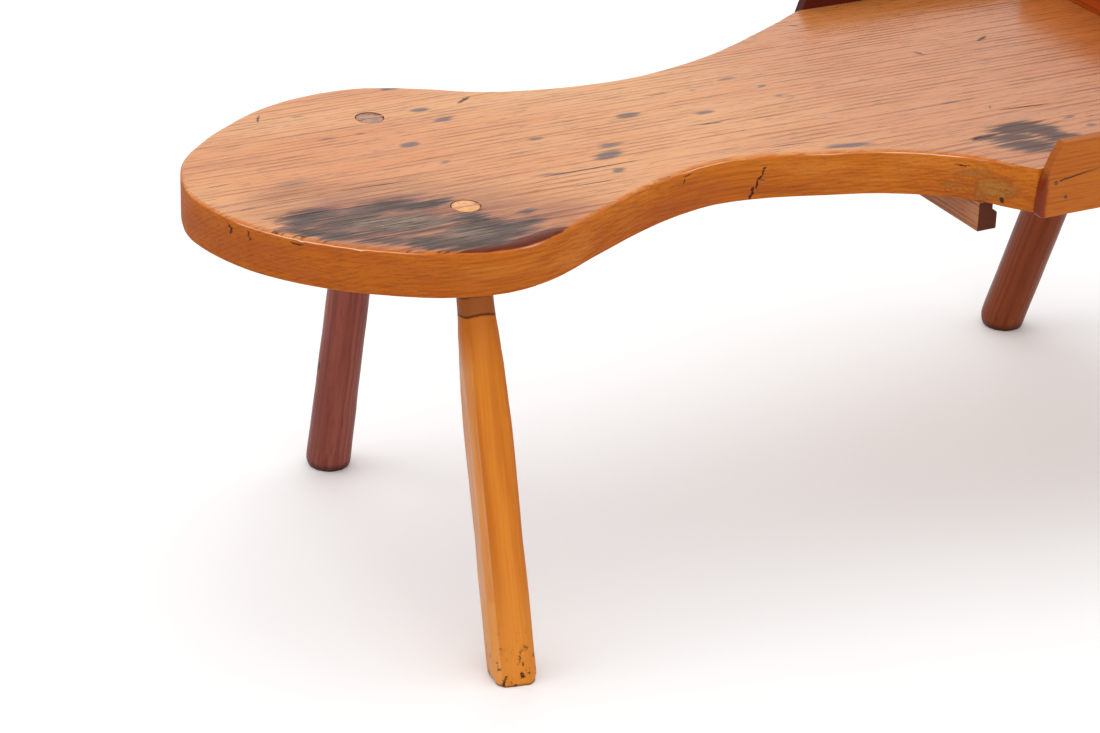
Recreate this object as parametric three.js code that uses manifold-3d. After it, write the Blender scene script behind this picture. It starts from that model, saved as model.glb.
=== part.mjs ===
// A shoemaker's work bench. One thick plank is sawn to a rounded seat, a narrow waist and a wide tray.
// Four splayed legs come up through it and are wedged from above. Boards close the tray on three
// sides, a cross board parts off the bins at its end, and a shallow drawer hangs on two rebated
// runners under the plank and pulls out at the back.
// Millimetres. X runs from the tip of the seat to the tray's end, Y to the back, Z up.
// Before the last step X is zero at the tip of the seat and Y on the middle of its rounded lobe.

import * as THREE from "three";
import { mergeVertices, toCreasedNormals } from "three/addons/utils/BufferGeometryUtils.js";
import Module from "manifold-3d";

const wasm = await Module();
wasm.setup();

// The plank.
const plankTop = 400;
const plankThickness = 42;
const plankLength = 1158;
const frontCornerAlong = 700;
const backCornerAlong = 735;
const trayFrontReach = 234.5;
const trayBackReach = 206;
const topArrisRadius = 3.5;
const underArrisRadius = 1.2;
const arrisFadeLength = 22;

// The sawn outline from the front corner of the tray round the seat to its back corner: how far
// along from the tip, as a share of that side's corner, then how far out, as a share of its reach.
const frontOutlineShares = [
  [1.008, 1],
  [0.987, 0.921],
  [0.961, 0.81],
  [0.919, 0.702],
  [0.861, 0.601],
  [0.79, 0.529],
  [0.719, 0.465],
  [0.65, 0.441],
  [0.59, 0.473],
  [0.519, 0.55],
  [0.434, 0.674],
  [0.347, 0.802],
  [0.28, 0.84],
  [0.209, 0.793],
  [0.149, 0.691],
  [0.091, 0.55],
  [0.038, 0.35],
  [0.01, 0.16],
];
const backOutlineShares = [
  [-0.002, 0.068],
  [0.006, 0.228],
  [0.029, 0.422],
  [0.072, 0.592],
  [0.131, 0.752],
  [0.195, 0.874],
  [0.263, 0.927],
  [0.328, 0.913],
  [0.396, 0.801],
  [0.461, 0.66],
  [0.535, 0.578],
  [0.616, 0.541],
  [0.675, 0.549],
  [0.746, 0.602],
  [0.816, 0.689],
  [0.905, 0.845],
  [0.957, 0.944],
  [0.982, 0.985],
  [0.993, 1],
];

// The legs: where each tenon comes out of the plank's top, and how far the foot stands away from
// there, outward from the middle and along to the tip or the tray. Right legs are set in from the end.
const leftHeadAlong = 203;
const frontLeftHeadReach = 103;
const frontLeftSplay = 118;
const frontLeftLean = 5;
const backLeftHeadSet = 13;
const backLeftHeadReach = 115;
const backLeftSplay = 106;
const backLeftLean = 9.3;
const backRightHeadInset = 114.5;
const backRightHeadReach = 90;
const backRightSplay = 129;
const backRightLean = 23;
const frontRightHeadInset = 117;
const frontRightHeadReach = 112;
const frontRightSplay = 107;
const frontRightLean = 18;
const shavedLegRadius = 20.4;
const slimLegRadius = 21.4;
const stoutLegRadius = 23.2;
const tenonRadius = 13;
const jointGap = 0.3;
const wedgeThickness = 2.4;
const wedgeDepth = 26;
const wedgePointShare = 0.35;
const wedgeGap = 0.12;
const footFlatShare = 0.88;
const footTrimSlopeShare = 0.8;

// A leg's outline from the foot to the shoulder: height as a share of the way up to the plank,
// radius as a share of the leg's own, and how flat its shaved faces are.
const shavedLegShares = [
  [0, 1, 1],
  [0.24, 1, 1],
  [0.335, 0.968, 1],
  [0.43, 0.986, 1],
  [0.6, 0.994, 0.95],
  [0.68, 0.968, 0.85],
  [0.715, 0.955, 0.7],
  [0.75, 0.944, 0.6],
  [0.785, 0.908, 0.5],
  [0.82, 0.879, 0.35],
  [0.85, 0.82, 0.25],
  [0.88, 0.79, 0.15],
  [0.93, 0.775, 0],
  [1, 0.765, 0],
];
const slimLegShares = [
  [0, 1.03, 0],
  [0.14, 1.0, 0],
  [0.28, 0.97, 0],
  [0.45, 0.955, 0],
  [0.62, 0.94, 0],
  [0.8, 0.92, 0],
  [0.92, 0.85, 0],
  [1, 0.76, 0],
];
const stoutLegShares = [
  [0, 1, 0],
  [0.2, 1, 0],
  [0.45, 1.01, 0],
  [0.7, 0.99, 0],
  [0.84, 0.93, 0],
  [0.93, 0.82, 0],
  [1, 0.72, 0],
];

// A rounded foot: distance up from the leg's end, then radius, both as shares of the leg's radius.
const roundFootShares = [
  [-0.3, 0.42],
  [-0.24, 0.6],
  [-0.12, 0.78],
  [0.06, 0.91],
  [0.26, 0.98],
];
const shavedFaceShare = 0.93;
const shavedCornerShare = 0.68;
const shavedTurnShare = 0.033;

// The boards that close the tray, and the bins at its end.
const railThickness = 11;
const railRise = 26;
const railLap = 2;
const frontRailSetback = 4;
const backRailLead = 9;
const endRailRise = 44;
const boardEdge = 1.1;
const endBoxDepth = 161;
const dividerThickness = 12;
const dividerRise = 50;
const partitionThickness = 9;
const partitionRise = 38;
const binCount = 3;

// The shaped left end of a side rail: distance from its start, then height, as shares of its height.
const railEndShares = [
  [0.04, 0],
  [0.006, 0.03],
  [0, 0.08],
  [0.024, 0.38],
  [0.056, 0.52],
  [0.153, 0.78],
  [0.287, 1],
];

// The drawer under the tray and the two runners it hangs on.
const leftRunnerLead = 27;
const rightRunnerSet = 4;
const runnerFrontInset = 38.5;
const runnerBackInset = 27;
const runnerDrop = 28;
const runnerNeckWidth = 15.3;
const ledgeWidth = 5.2;
const ledgeDrop = 8;
const ledgeFall = 4;
const runnerEdge = 0.6;
const slideGap = 0.5;
const sideClearance = 1;
const drawerDrop = 58;
const drawerDepth = 193;
const drawerFrontThickness = 14;
const drawerSideThickness = 10;
const drawerBackThickness = 9;
const drawerBottomThickness = 6;
const drawerHeadroom = 1.2;
const drawerBackDrop = 9;
const drawerEdge = 0.8;
const stopLengthShare = 0.21;
const stopThickness = 12;
const stopDrop = 18;
const stopGap = 0.3;
const knobReach = 24;
const knobRadius = 13;

// Knob outline from the drawer's face outward: reach share, then radius share.
const knobShares = [
  [0, 0.62],
  [0.06, 0.64],
  [0.12, 0.5],
  [0.28, 0.4],
  [0.44, 0.48],
  [0.56, 0.8],
  [0.68, 0.98],
  [0.8, 1],
  [0.92, 0.86],
  [0.98, 0.5],
];

// How finely the round shapes are stepped.
const outlineSteps = 116;
const arrisSteps = 3;
const legSegments = 32;
const tenonSegments = 32;
const knobSegments = 28;
const edgeSteps = 2;
const creaseTurnShare = 0.095;

// Derived sizes.
const plankUnder = plankTop - plankThickness;
const railUnder = plankUnder - railLap;
const railHeight = plankThickness + railRise + railLap;
const trayWidth = trayFrontReach + trayBackReach;
const trayMiddle = (trayBackReach - trayFrontReach) / 2;
const runnerWidth = runnerNeckWidth + ledgeWidth;
const dividerAlong = plankLength - endBoxDepth;
const leftRunnerAlong = frontCornerAlong - leftRunnerLead;
const rightRunnerAlong = dividerAlong + rightRunnerSet;
const runnerFrontEnd = runnerFrontInset - trayFrontReach;
const runnerBackEnd = trayBackReach - runnerBackInset;
const drawerLeft = leftRunnerAlong + runnerWidth + sideClearance;
const drawerRight = rightRunnerAlong - runnerWidth - sideClearance;
const drawerWidth = drawerRight - drawerLeft;
const drawerMiddle = (drawerLeft + drawerRight) / 2;
const drawerTop = railUnder - drawerHeadroom;
const drawerUnder = plankUnder - drawerDrop;
const drawerFace = runnerBackEnd;
const drawerFrontBack = drawerFace - drawerFrontThickness;
const drawerTail = drawerFrontBack - drawerDepth;
const drawerSideUnder = drawerUnder + drawerBottomThickness;
const drawerInnerWidth = drawerWidth - drawerSideThickness - drawerSideThickness;

// Shared shape helpers.

function solidFrom(geometry) {
  const bare = geometry.clone();
  bare.deleteAttribute("normal");
  bare.deleteAttribute("uv");
  const welded = mergeVertices(bare);
  const mesh = new wasm.Mesh({
    numProp: 3,
    vertProperties: new Float32Array(welded.attributes.position.array),
    triVerts: new Uint32Array(welded.index.array),
  });
  return new wasm.Manifold(mesh);
}

function geometryFrom(solid) {
  const mesh = solid.getMesh();
  const geometry = new THREE.BufferGeometry();
  geometry.setAttribute("position", new THREE.BufferAttribute(mesh.vertProperties, mesh.numProp));
  geometry.setIndex(new THREE.BufferAttribute(mesh.triVerts, 1));
  return toCreasedNormals(geometry, creaseTurnShare * Math.PI * 2);
}

// A closed solid skinned over rings of points, each with the same count, from the first to the last.
function ringSolid(rings, capShape) {
  const count = rings[0].length;
  const positions = rings.flat().flatMap((point) => [point.x, point.y, point.z]);
  const faces = THREE.ShapeUtils.triangulateShape(capShape, []);
  const lastRing = (rings.length - 1) * count;
  const index = [];
  faces.forEach(([a, b, c]) => {
    index.push(a, c, b);
    index.push(lastRing + a, lastRing + b, lastRing + c);
  });
  for (let ring = 0; ring < rings.length - 1; ring += 1) {
    for (let step = 0; step < count; step += 1) {
      const low = ring * count + step;
      const lowNext = ring * count + ((step + 1) % count);
      index.push(low, lowNext, lowNext + count);
      index.push(low, lowNext + count, low + count);
    }
  }
  const geometry = new THREE.BufferGeometry();
  geometry.setAttribute("position", new THREE.Float32BufferAttribute(positions, 3));
  geometry.setIndex(index);
  return geometry;
}

// A flat outline drawn in X and Z, made solid from the front face to the back face along Y.
function boardFromOutline(points, frontFace, thickness, edge) {
  const shape = new THREE.Shape(points);
  const geometry = new THREE.ExtrudeGeometry(shape, {
    depth: thickness - edge - edge,
    bevelEnabled: true,
    bevelSize: edge,
    bevelOffset: -edge,
    bevelThickness: edge,
    bevelSegments: edgeSteps,
    curveSegments: 1,
  });
  geometry.rotateX(Math.PI / 2);
  geometry.translate(0, frontFace + thickness - edge, 0);
  return geometry;
}

// A plain board whose faces look along Y.
function board(left, frontFace, low, width, thickness, height, edge) {
  const points = [
    new THREE.Vector2(left, low),
    new THREE.Vector2(left + width, low),
    new THREE.Vector2(left + width, low + height),
    new THREE.Vector2(left, low + height),
  ];
  return boardFromOutline(points, frontFace, thickness, edge);
}

// A plain board standing crosswise, so that its faces look along X.
function crossBoard(left, frontEnd, low, thickness, length, height, edge) {
  const geometry = board(0, 0, low, length, thickness, height, edge);
  geometry.rotateZ(Math.PI / 2);
  geometry.translate(left + thickness, frontEnd, 0);
  return geometry;
}

function namedMesh(name, geometry, material) {
  const mesh = new THREE.Mesh(geometry, material);
  mesh.name = name;
  return mesh;
}

function wood(colour, roughness) {
  return new THREE.MeshStandardMaterial({ color: colour, roughness, metalness: 0 });
}

// Woods.

function varnishedPlankWood() {
  return wood(0xc98149, 0.36);
}

function yellowLegWood() {
  return wood(0xcb8330, 0.42);
}

function purpleLegWood() {
  return wood(0x7c4436, 0.5);
}

function redLegWood() {
  return wood(0x753a1e, 0.45);
}

function brownLegWood() {
  return wood(0x7d4423, 0.45);
}

function wedgeWood() {
  return wood(0xd9a066, 0.5);
}

function goldenRailWood() {
  return wood(0xb9702b, 0.4);
}

function darkRailWood() {
  return wood(0x5c2412, 0.4);
}

function dividerWood() {
  return wood(0xa85a22, 0.42);
}

function runnerWood() {
  return wood(0x5f3420, 0.6);
}

function drawerFrontWood() {
  return wood(0xa9652f, 0.45);
}

function drawerInsideWood() {
  return wood(0xb98b5a, 0.65);
}

function knobWood() {
  return wood(0x6a3a1c, 0.35);
}

// The plank.

// The plank's outline seen from above, counter-clockwise, with how much of its arris is rounded.
function plankOutline() {
  const front = frontOutlineShares.map(([along, out]) => {
    return new THREE.Vector3(along * frontCornerAlong, -out * trayFrontReach, 0);
  });
  const back = backOutlineShares.map(([along, out]) => {
    return new THREE.Vector3(along * backCornerAlong, out * trayBackReach, 0);
  });
  const curve = new THREE.CatmullRomCurve3([...front, ...back], false, "centripetal");
  const length = curve.getLength();
  const sawn = curve.getSpacedPoints(outlineSteps).map((point, step) => {
    const run = (step / outlineSteps) * length;
    const fromCorner = Math.min(run, length - run);
    return { x: point.x, y: point.y, softShare: Math.min(1, fromCorner / arrisFadeLength) };
  });
  const square = [
    { x: plankLength, y: trayBackReach, softShare: 0 },
    { x: plankLength, y: -trayFrontReach, softShare: 0 },
  ];
  return [...sawn, ...square].reverse();
}

// One level of the plank: the outline drawn in by the given amount where its arris is rounded.
function plankRing(outline, inset, height) {
  const count = outline.length;
  return outline.map((point, step) => {
    const before = outline[(step + count - 1) % count];
    const after = outline[(step + 1) % count];
    const way = new THREE.Vector2(after.x - before.x, after.y - before.y).normalize();
    const drawn = inset * point.softShare;
    return new THREE.Vector3(point.x - way.y * drawn, point.y + way.x * drawn, height);
  });
}

function seatPlankGeometry() {
  const outline = plankOutline();
  const rings = [];
  for (let step = 0; step <= arrisSteps; step += 1) {
    const turn = (step / arrisSteps) * (Math.PI / 2);
    const inset = underArrisRadius * (1 - Math.sin(turn));
    rings.push(plankRing(outline, inset, plankUnder + underArrisRadius * (1 - Math.cos(turn))));
  }
  for (let step = 0; step <= arrisSteps; step += 1) {
    const turn = (step / arrisSteps) * (Math.PI / 2);
    const inset = topArrisRadius * (1 - Math.cos(turn));
    rings.push(plankRing(outline, inset, plankTop - topArrisRadius * (1 - Math.sin(turn))));
  }
  const plain = outline.map((point) => new THREE.Vector2(point.x, point.y));
  const blank = solidFrom(ringSolid(rings, plain));
  const drilled = legSpecs().reduce((solid, leg) => solid.subtract(mortise(leg)), blank);
  return geometryFrom(drilled);
}

// Legs, tenons and wedges.

// Where a leg's foot and its tenon's top lie: side is 1 at the back and -1 at the front, and the
// foot leans towards the tray by the given amount, or towards the tip if that is negative.
function stance(headAlong, headOut, splay, lean, side) {
  return {
    foot: { along: headAlong + lean, across: side * (headOut + splay) },
    head: { along: headAlong, across: side * headOut },
  };
}

function legSpecs() {
  const backLeftAlong = leftHeadAlong + backLeftHeadSet;
  const backRightAlong = plankLength - backRightHeadInset;
  const frontRightAlong = plankLength - frontRightHeadInset;
  return [
    {
      name: "front_left_leg",
      ...stance(leftHeadAlong, frontLeftHeadReach, frontLeftSplay, -frontLeftLean, -1),
      radius: shavedLegRadius,
      profileShares: shavedLegShares,
      rounded: false,
      material: yellowLegWood,
    },
    {
      name: "back_left_leg",
      ...stance(backLeftAlong, backLeftHeadReach, backLeftSplay, backLeftLean, 1),
      radius: slimLegRadius,
      profileShares: slimLegShares,
      rounded: true,
      material: purpleLegWood,
    },
    {
      name: "back_right_leg",
      ...stance(backRightAlong, backRightHeadReach, backRightSplay, -backRightLean, 1),
      radius: stoutLegRadius,
      profileShares: stoutLegShares,
      rounded: true,
      material: redLegWood,
    },
    {
      name: "front_right_leg",
      ...stance(frontRightAlong, frontRightHeadReach, frontRightSplay, -frontRightLean, -1),
      radius: stoutLegRadius,
      profileShares: stoutLegShares,
      rounded: true,
      material: brownLegWood,
    },
  ];
}

function legWay(leg) {
  const way = new THREE.Vector3(leg.head.along - leg.foot.along, leg.head.across - leg.foot.across, plankTop);
  return way.normalize();
}

// Turns a shape built straight up from the floor into the leg's own splay, about the foot.
function splayed(geometry, leg) {
  const upright = new THREE.Vector3(0, 0, 1);
  geometry.applyQuaternion(new THREE.Quaternion().setFromUnitVectors(upright, legWay(leg)));
  return geometry;
}

function slopeLength(leg, height) {
  return height / legWay(leg).z;
}

// How far a shaved face lies in from the round at this angle: a square with its corners taken off.
function shavedReachShare(angle) {
  const quarter = Math.PI / 2;
  const turned = angle + shavedTurnShare * Math.PI * 2;
  const fromFace = turned - quarter * Math.round(turned / quarter);
  const corner = Math.PI / 4 - Math.abs(fromFace);
  const flatReach = shavedFaceShare / Math.cos(fromFace);
  const cornerReach = ((1 + shavedCornerShare) * Math.SQRT1_2 * shavedFaceShare) / Math.cos(corner);
  return Math.min(flatReach, cornerReach);
}

function legRing(run, radius, flatness) {
  const ring = [];
  for (let step = 0; step < legSegments; step += 1) {
    const angle = (step / legSegments) * Math.PI * 2;
    const reach = radius * (1 + flatness * (shavedReachShare(angle) - 1));
    ring.push(new THREE.Vector3(reach * Math.cos(angle), reach * Math.sin(angle), run));
  }
  return ring;
}

function legShaft(leg) {
  const shoulderRun = slopeLength(leg, plankUnder);
  const rings = leg.profileShares.map(([rise, width, flatness]) => {
    return legRing(rise * shoulderRun, width * leg.radius, flatness);
  });
  const [, topWidth, topFlatness] = leg.profileShares[leg.profileShares.length - 1];
  rings.push(legRing(slopeLength(leg, plankTop), topWidth * leg.radius, topFlatness));
  if (leg.rounded) {
    rings.shift();
    const toes = roundFootShares.map(([rise, width]) => {
      return legRing(rise * leg.radius, width * leg.radius, 0);
    });
    rings.unshift(...toes);
  } else {
    rings.unshift(legRing(-leg.radius, leg.radius, 1));
  }
  const cap = rings[0].map((point) => new THREE.Vector2(point.x, point.y));
  return solidFrom(splayed(ringSolid(rings, cap), leg));
}

// Everything between two levels, wide enough for any leg.
function slab(low, high) {
  const geometry = new THREE.BoxGeometry(plankLength, plankLength, high - low);
  geometry.translate(0, 0, (low + high) / 2);
  return solidFrom(geometry);
}

// A shallow upright cone that takes the sharp edge off a foot cut level with the floor.
function footTrim(leg) {
  const flat = leg.radius * footFlatShare;
  const rise = (plankLength - flat) * footTrimSlopeShare;
  const profile = [
    new THREE.Vector2(0, 0),
    new THREE.Vector2(flat, 0),
    new THREE.Vector2(plankLength, rise),
    new THREE.Vector2(0, rise),
  ];
  const geometry = new THREE.LatheGeometry(profile, legSegments);
  geometry.rotateX(Math.PI / 2);
  return solidFrom(geometry);
}

function tenonRod(leg, radius, lowRun, highRun) {
  const geometry = new THREE.CylinderGeometry(radius, radius, highRun - lowRun, tenonSegments);
  geometry.rotateX(Math.PI / 2);
  geometry.translate(0, 0, (lowRun + highRun) / 2);
  return solidFrom(splayed(geometry, leg));
}

function mortise(leg) {
  const low = slopeLength(leg, plankUnder - plankThickness);
  const high = slopeLength(leg, plankTop + plankThickness);
  return tenonRod(leg, tenonRadius + jointGap, low, high).translate([leg.foot.along, leg.foot.across, 0]);
}

// The tapered wedge, also used a little larger as the saw kerf it is driven into.
function wedgeBlank(leg, grow, spare) {
  const half = wedgeThickness / 2;
  const point = half * wedgePointShare;
  const length = tenonRadius + tenonRadius + spare;
  const shape = new THREE.Shape([
    new THREE.Vector2(-point - grow, -wedgeDepth - grow),
    new THREE.Vector2(point + grow, -wedgeDepth - grow),
    new THREE.Vector2(half + grow, 0),
    new THREE.Vector2(half + grow, plankThickness),
    new THREE.Vector2(-half - grow, plankThickness),
    new THREE.Vector2(-half - grow, 0),
  ]);
  const geometry = new THREE.ExtrudeGeometry(shape, { depth: length, bevelEnabled: false });
  geometry.translate(0, 0, -length / 2);
  geometry.rotateY(Math.PI / 2);
  geometry.rotateX(Math.PI / 2);
  geometry.translate(0, 0, slopeLength(leg, plankTop));
  return solidFrom(splayed(geometry, leg));
}

function legGeometry(leg) {
  const shaft = legShaft(leg).intersect(slab(0, plankUnder - jointGap));
  const trimmed = leg.rounded ? shaft : shaft.intersect(footTrim(leg));
  const lowRun = slopeLength(leg, plankUnder - plankThickness);
  const highRun = slopeLength(leg, plankTop + plankThickness);
  const tenon = tenonRod(leg, tenonRadius, lowRun, highRun).intersect(slab(0, plankTop));
  const kerf = wedgeBlank(leg, wedgeGap, plankThickness);
  return geometryFrom(trimmed.add(tenon).subtract(kerf));
}

function wedgeGeometry(leg) {
  const lowRun = slopeLength(leg, plankUnder);
  const highRun = slopeLength(leg, plankTop + plankThickness);
  const round = tenonRod(leg, tenonRadius, lowRun, highRun);
  return geometryFrom(wedgeBlank(leg, 0, plankThickness).intersect(round).intersect(slab(0, plankTop)));
}

function legMesh(leg) {
  const mesh = namedMesh(leg.name, legGeometry(leg), leg.material());
  mesh.position.set(leg.foot.along, leg.foot.across, 0);
  return mesh;
}

function wedgeMesh(leg) {
  const mesh = namedMesh(leg.name.replace("leg", "wedge"), wedgeGeometry(leg), wedgeWood());
  mesh.position.set(leg.foot.along, leg.foot.across, 0);
  return mesh;
}

// The tray's boards.

function sideRailGeometry(start, frontFace) {
  const end = railEndShares.map(([run, rise]) => {
    return new THREE.Vector2(start + run * railHeight, railUnder + rise * railHeight);
  });
  const right = plankLength + railThickness;
  const points = [
    new THREE.Vector2(right, railUnder),
    new THREE.Vector2(right, railUnder + railHeight),
    ...end.reverse(),
  ];
  return boardFromOutline(points, frontFace, railThickness, boardEdge);
}

function frontRail() {
  const geometry = sideRailGeometry(frontCornerAlong + frontRailSetback, -trayFrontReach - railThickness);
  return namedMesh("front_rail", geometry, goldenRailWood());
}

function backRail() {
  const geometry = sideRailGeometry(backCornerAlong - backRailLead, trayBackReach);
  return namedMesh("back_rail", geometry, darkRailWood());
}

function endRail() {
  const height = railLap + plankThickness + endRailRise;
  const geometry = crossBoard(
    plankLength, -trayFrontReach, railUnder, railThickness, trayWidth, height, boardEdge,
  );
  return namedMesh("end_rail", geometry, goldenRailWood());
}

function trayDivider() {
  const geometry = crossBoard(
    dividerAlong, -trayFrontReach, plankTop, dividerThickness, trayWidth, dividerRise, boardEdge,
  );
  return namedMesh("tray_divider", geometry, dividerWood());
}

function binPartition(number) {
  const left = dividerAlong + dividerThickness;
  const middle = trayMiddle + trayWidth * (number / binCount - 1 / 2);
  const front = middle - partitionThickness / 2;
  const width = plankLength - left;
  const geometry = board(left, front, plankTop, width, partitionThickness, partitionRise, boardEdge);
  return namedMesh(`bin_partition_${number}`, geometry, dividerWood());
}

// Runners and drawer.

// The end grain of the left runner; the right one is its mirror image.
function runnerOutline(left, side) {
  const points = [
    [0, 0],
    [runnerWidth, 0],
    [runnerWidth, runnerDrop - ledgeDrop - ledgeFall],
    [runnerNeckWidth, runnerDrop - ledgeDrop],
    [runnerNeckWidth, runnerDrop],
    [0, runnerDrop],
  ];
  const drawn = points.map(([out, up]) => {
    return new THREE.Vector2(left + side * out, plankUnder - runnerDrop + up);
  });
  return side > 0 ? drawn : drawn.reverse();
}

function runner(name, left, side) {
  const outline = runnerOutline(left, side);
  const length = runnerBackEnd - runnerFrontEnd;
  const geometry = boardFromOutline(outline, runnerFrontEnd, length, runnerEdge);
  return namedMesh(name, geometry, runnerWood());
}

// The strip along the top of a drawer side that rides on the runner's sloping ledge.
function drawerLip(name, sideFace, side) {
  const slope = ledgeFall / ledgeWidth;
  const outerUnder = plankUnder - ledgeDrop - sideClearance * slope + slideGap;
  const innerUnder = outerUnder - ledgeFall;
  const points = [
    [ledgeWidth, outerUnder],
    [0, innerUnder],
    [0, drawerTop],
    [ledgeWidth, drawerTop],
  ];
  const drawn = points.map(([out, up]) => new THREE.Vector2(sideFace - side * out, up));
  const outline = side > 0 ? drawn : drawn.reverse();
  const geometry = boardFromOutline(outline, drawerTail, drawerDepth, runnerEdge);
  return namedMesh(name, geometry, runnerWood());
}

function drawerSide(name, left) {
  const height = drawerTop - drawerSideUnder;
  const geometry = crossBoard(
    left, drawerTail, drawerSideUnder, drawerSideThickness, drawerDepth, height, drawerEdge,
  );
  return namedMesh(name, geometry, drawerInsideWood());
}

function drawerFront() {
  const height = drawerTop - drawerUnder;
  const geometry = board(
    drawerLeft, drawerFrontBack, drawerUnder, drawerWidth, drawerFrontThickness, height, drawerEdge,
  );
  return namedMesh("drawer_front", geometry, drawerFrontWood());
}

function drawerBack() {
  const left = drawerLeft + drawerSideThickness;
  const height = drawerTop - drawerBackDrop - drawerSideUnder;
  const geometry = board(
    left, drawerTail, drawerSideUnder, drawerInnerWidth, drawerBackThickness, height, drawerEdge,
  );
  return namedMesh("drawer_back", geometry, drawerInsideWood());
}

function drawerBottom() {
  const geometry = board(
    drawerLeft, drawerTail, drawerUnder, drawerWidth, drawerDepth, drawerBottomThickness, drawerEdge,
  );
  return namedMesh("drawer_bottom", geometry, drawerInsideWood());
}

function drawerKnob() {
  const outline = knobShares.map(([reach, width]) => {
    return new THREE.Vector2(width * knobRadius, reach * knobReach);
  });
  const profile = [new THREE.Vector2(0, 0), ...outline, new THREE.Vector2(0, knobReach)];
  const mesh = namedMesh("drawer_knob", new THREE.LatheGeometry(profile, knobSegments), knobWood());
  mesh.position.set(drawerMiddle, drawerFace, (drawerTop + drawerUnder) / 2);
  return mesh;
}

function drawerStop() {
  const stopLength = stopLengthShare * drawerWidth;
  const left = drawerMiddle - stopLength / 2;
  const front = drawerTail - stopGap - stopThickness;
  const low = plankUnder - stopDrop;
  const geometry = board(left, front, low, stopLength, stopThickness, stopDrop, drawerEdge);
  return namedMesh("drawer_stop", geometry, runnerWood());
}

// The whole bench.

function drawerPieces() {
  const drawer = new THREE.Group();
  drawer.name = "drawer";
  drawer.add(drawerFront());
  drawer.add(drawerSide("drawer_left_side", drawerLeft));
  drawer.add(drawerSide("drawer_right_side", drawerRight - drawerSideThickness));
  drawer.add(drawerBack());
  drawer.add(drawerBottom());
  drawer.add(drawerLip("drawer_left_lip", drawerLeft, 1));
  drawer.add(drawerLip("drawer_right_lip", drawerRight, -1));
  drawer.add(drawerKnob());
  return drawer;
}

function benchPieces() {
  const bench = new THREE.Group();
  bench.name = "bench";
  bench.add(namedMesh("seat_plank", seatPlankGeometry(), varnishedPlankWood()));
  legSpecs().forEach((leg) => {
    bench.add(legMesh(leg));
    bench.add(wedgeMesh(leg));
  });
  bench.add(frontRail());
  bench.add(backRail());
  bench.add(endRail());
  bench.add(trayDivider());
  for (let number = 1; number < binCount; number += 1) {
    bench.add(binPartition(number));
  }
  bench.add(runner("left_runner", leftRunnerAlong, 1));
  bench.add(runner("right_runner", rightRunnerAlong, -1));
  bench.add(drawerStop());
  return bench;
}

// Stands the bench with the middle of its footprint over the origin.
function cobblersBench() {
  const whole = new THREE.Group();
  whole.name = "cobblers_bench";
  whole.add(benchPieces());
  whole.add(drawerPieces());
  whole.updateMatrixWorld(true);
  const box = new THREE.Box3().setFromObject(whole, true);
  const middle = box.getCenter(new THREE.Vector3());
  whole.position.set(-middle.x, -middle.y, -box.min.z);
  whole.updateMatrixWorld(true);
  return whole;
}

export default cobblersBench();
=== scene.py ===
# A shoemaker's work bench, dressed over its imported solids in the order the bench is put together.
# Metres, but millimetres in the tables of marks. X runs from the rounded seat to the end of the
# tray, Y to the back, Z up.

import math
from types import SimpleNamespace

import bmesh
import bpy
from mathutils import Matrix, Vector, noise
from mathutils.geometry import tessellate_polygon


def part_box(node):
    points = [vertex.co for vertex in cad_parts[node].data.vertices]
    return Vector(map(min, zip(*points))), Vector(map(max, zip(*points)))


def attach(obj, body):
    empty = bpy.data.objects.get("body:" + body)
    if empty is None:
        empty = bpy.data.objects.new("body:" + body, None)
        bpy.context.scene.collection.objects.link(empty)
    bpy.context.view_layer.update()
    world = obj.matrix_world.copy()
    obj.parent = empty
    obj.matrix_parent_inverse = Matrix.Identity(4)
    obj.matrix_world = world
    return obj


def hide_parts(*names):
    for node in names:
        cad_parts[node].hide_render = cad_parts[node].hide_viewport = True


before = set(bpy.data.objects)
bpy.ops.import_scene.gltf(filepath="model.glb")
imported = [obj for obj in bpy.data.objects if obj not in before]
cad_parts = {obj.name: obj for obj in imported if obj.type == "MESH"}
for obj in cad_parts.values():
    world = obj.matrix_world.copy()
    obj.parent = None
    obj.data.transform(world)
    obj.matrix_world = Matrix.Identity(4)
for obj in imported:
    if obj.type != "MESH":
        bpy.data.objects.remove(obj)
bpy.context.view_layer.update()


# The seat plank.
# One board of honey-brown wood, 42 mm thick, sawn to a seat, a waist and a tray, its top edge
# rounded over and worn, then varnished. The front of the seat is scorched round the leg's tenon.

plank_edge = 0.0038
plank_under_edge = 0.0012
plank_solid_edge = 0.0012
plank_edge_fade = 0.03
straight_from = 0.06
plank_step = 0.005
plank_corner = 0.001
plank_wear = 0.35
plank_sharpest = 55
corner_from = 38
corner_ticks = 5
rim_width = 0.003
rim_share = 0.12
worn_bare = 0.0035
wear_broad = 38
wear_fine = 150
least_edge = 0.05
same_spot = 2e-6
same_level = 6e-5
plank_peach_sheen = (0.68, 0.297, 0.094)
plank_orange = (0.6, 0.196, 0.04)
plank_tan = (0.5, 0.155, 0.034)
plank_rust = (0.41, 0.112, 0.016)
plank_amber = (0.45, 0.124, 0.008)
plank_deep_amber = (0.3, 0.064, 0.004)
plank_russet = (0.3, 0.062, 0.012)
plank_honey = (0.52, 0.175, 0.022)
plank_brown = (0.27, 0.066, 0.016)
plank_line = (0.075, 0.018, 0.006)
plank_arris_wear_and_highlight = (0.52, 0.12, 0.012)
plank_painted_glint = (0.86, 0.56, 0.42)
plank_dry = (0.26, 0.15, 0.085)
plank_toasted = (0.27, 0.07, 0.011)
char_black = (0.024, 0.007, 0.004)
char_grey = (0.335, 0.225, 0.145)
char_red = (0.13, 0.022, 0.006)
char_rim = (0.13, 0.02, 0.007)
stain_purple = (0.066, 0.022, 0.014)
spot_grey = (0.07, 0.032, 0.034)
knot_yellow = (0.3, 0.135, 0.026)
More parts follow.
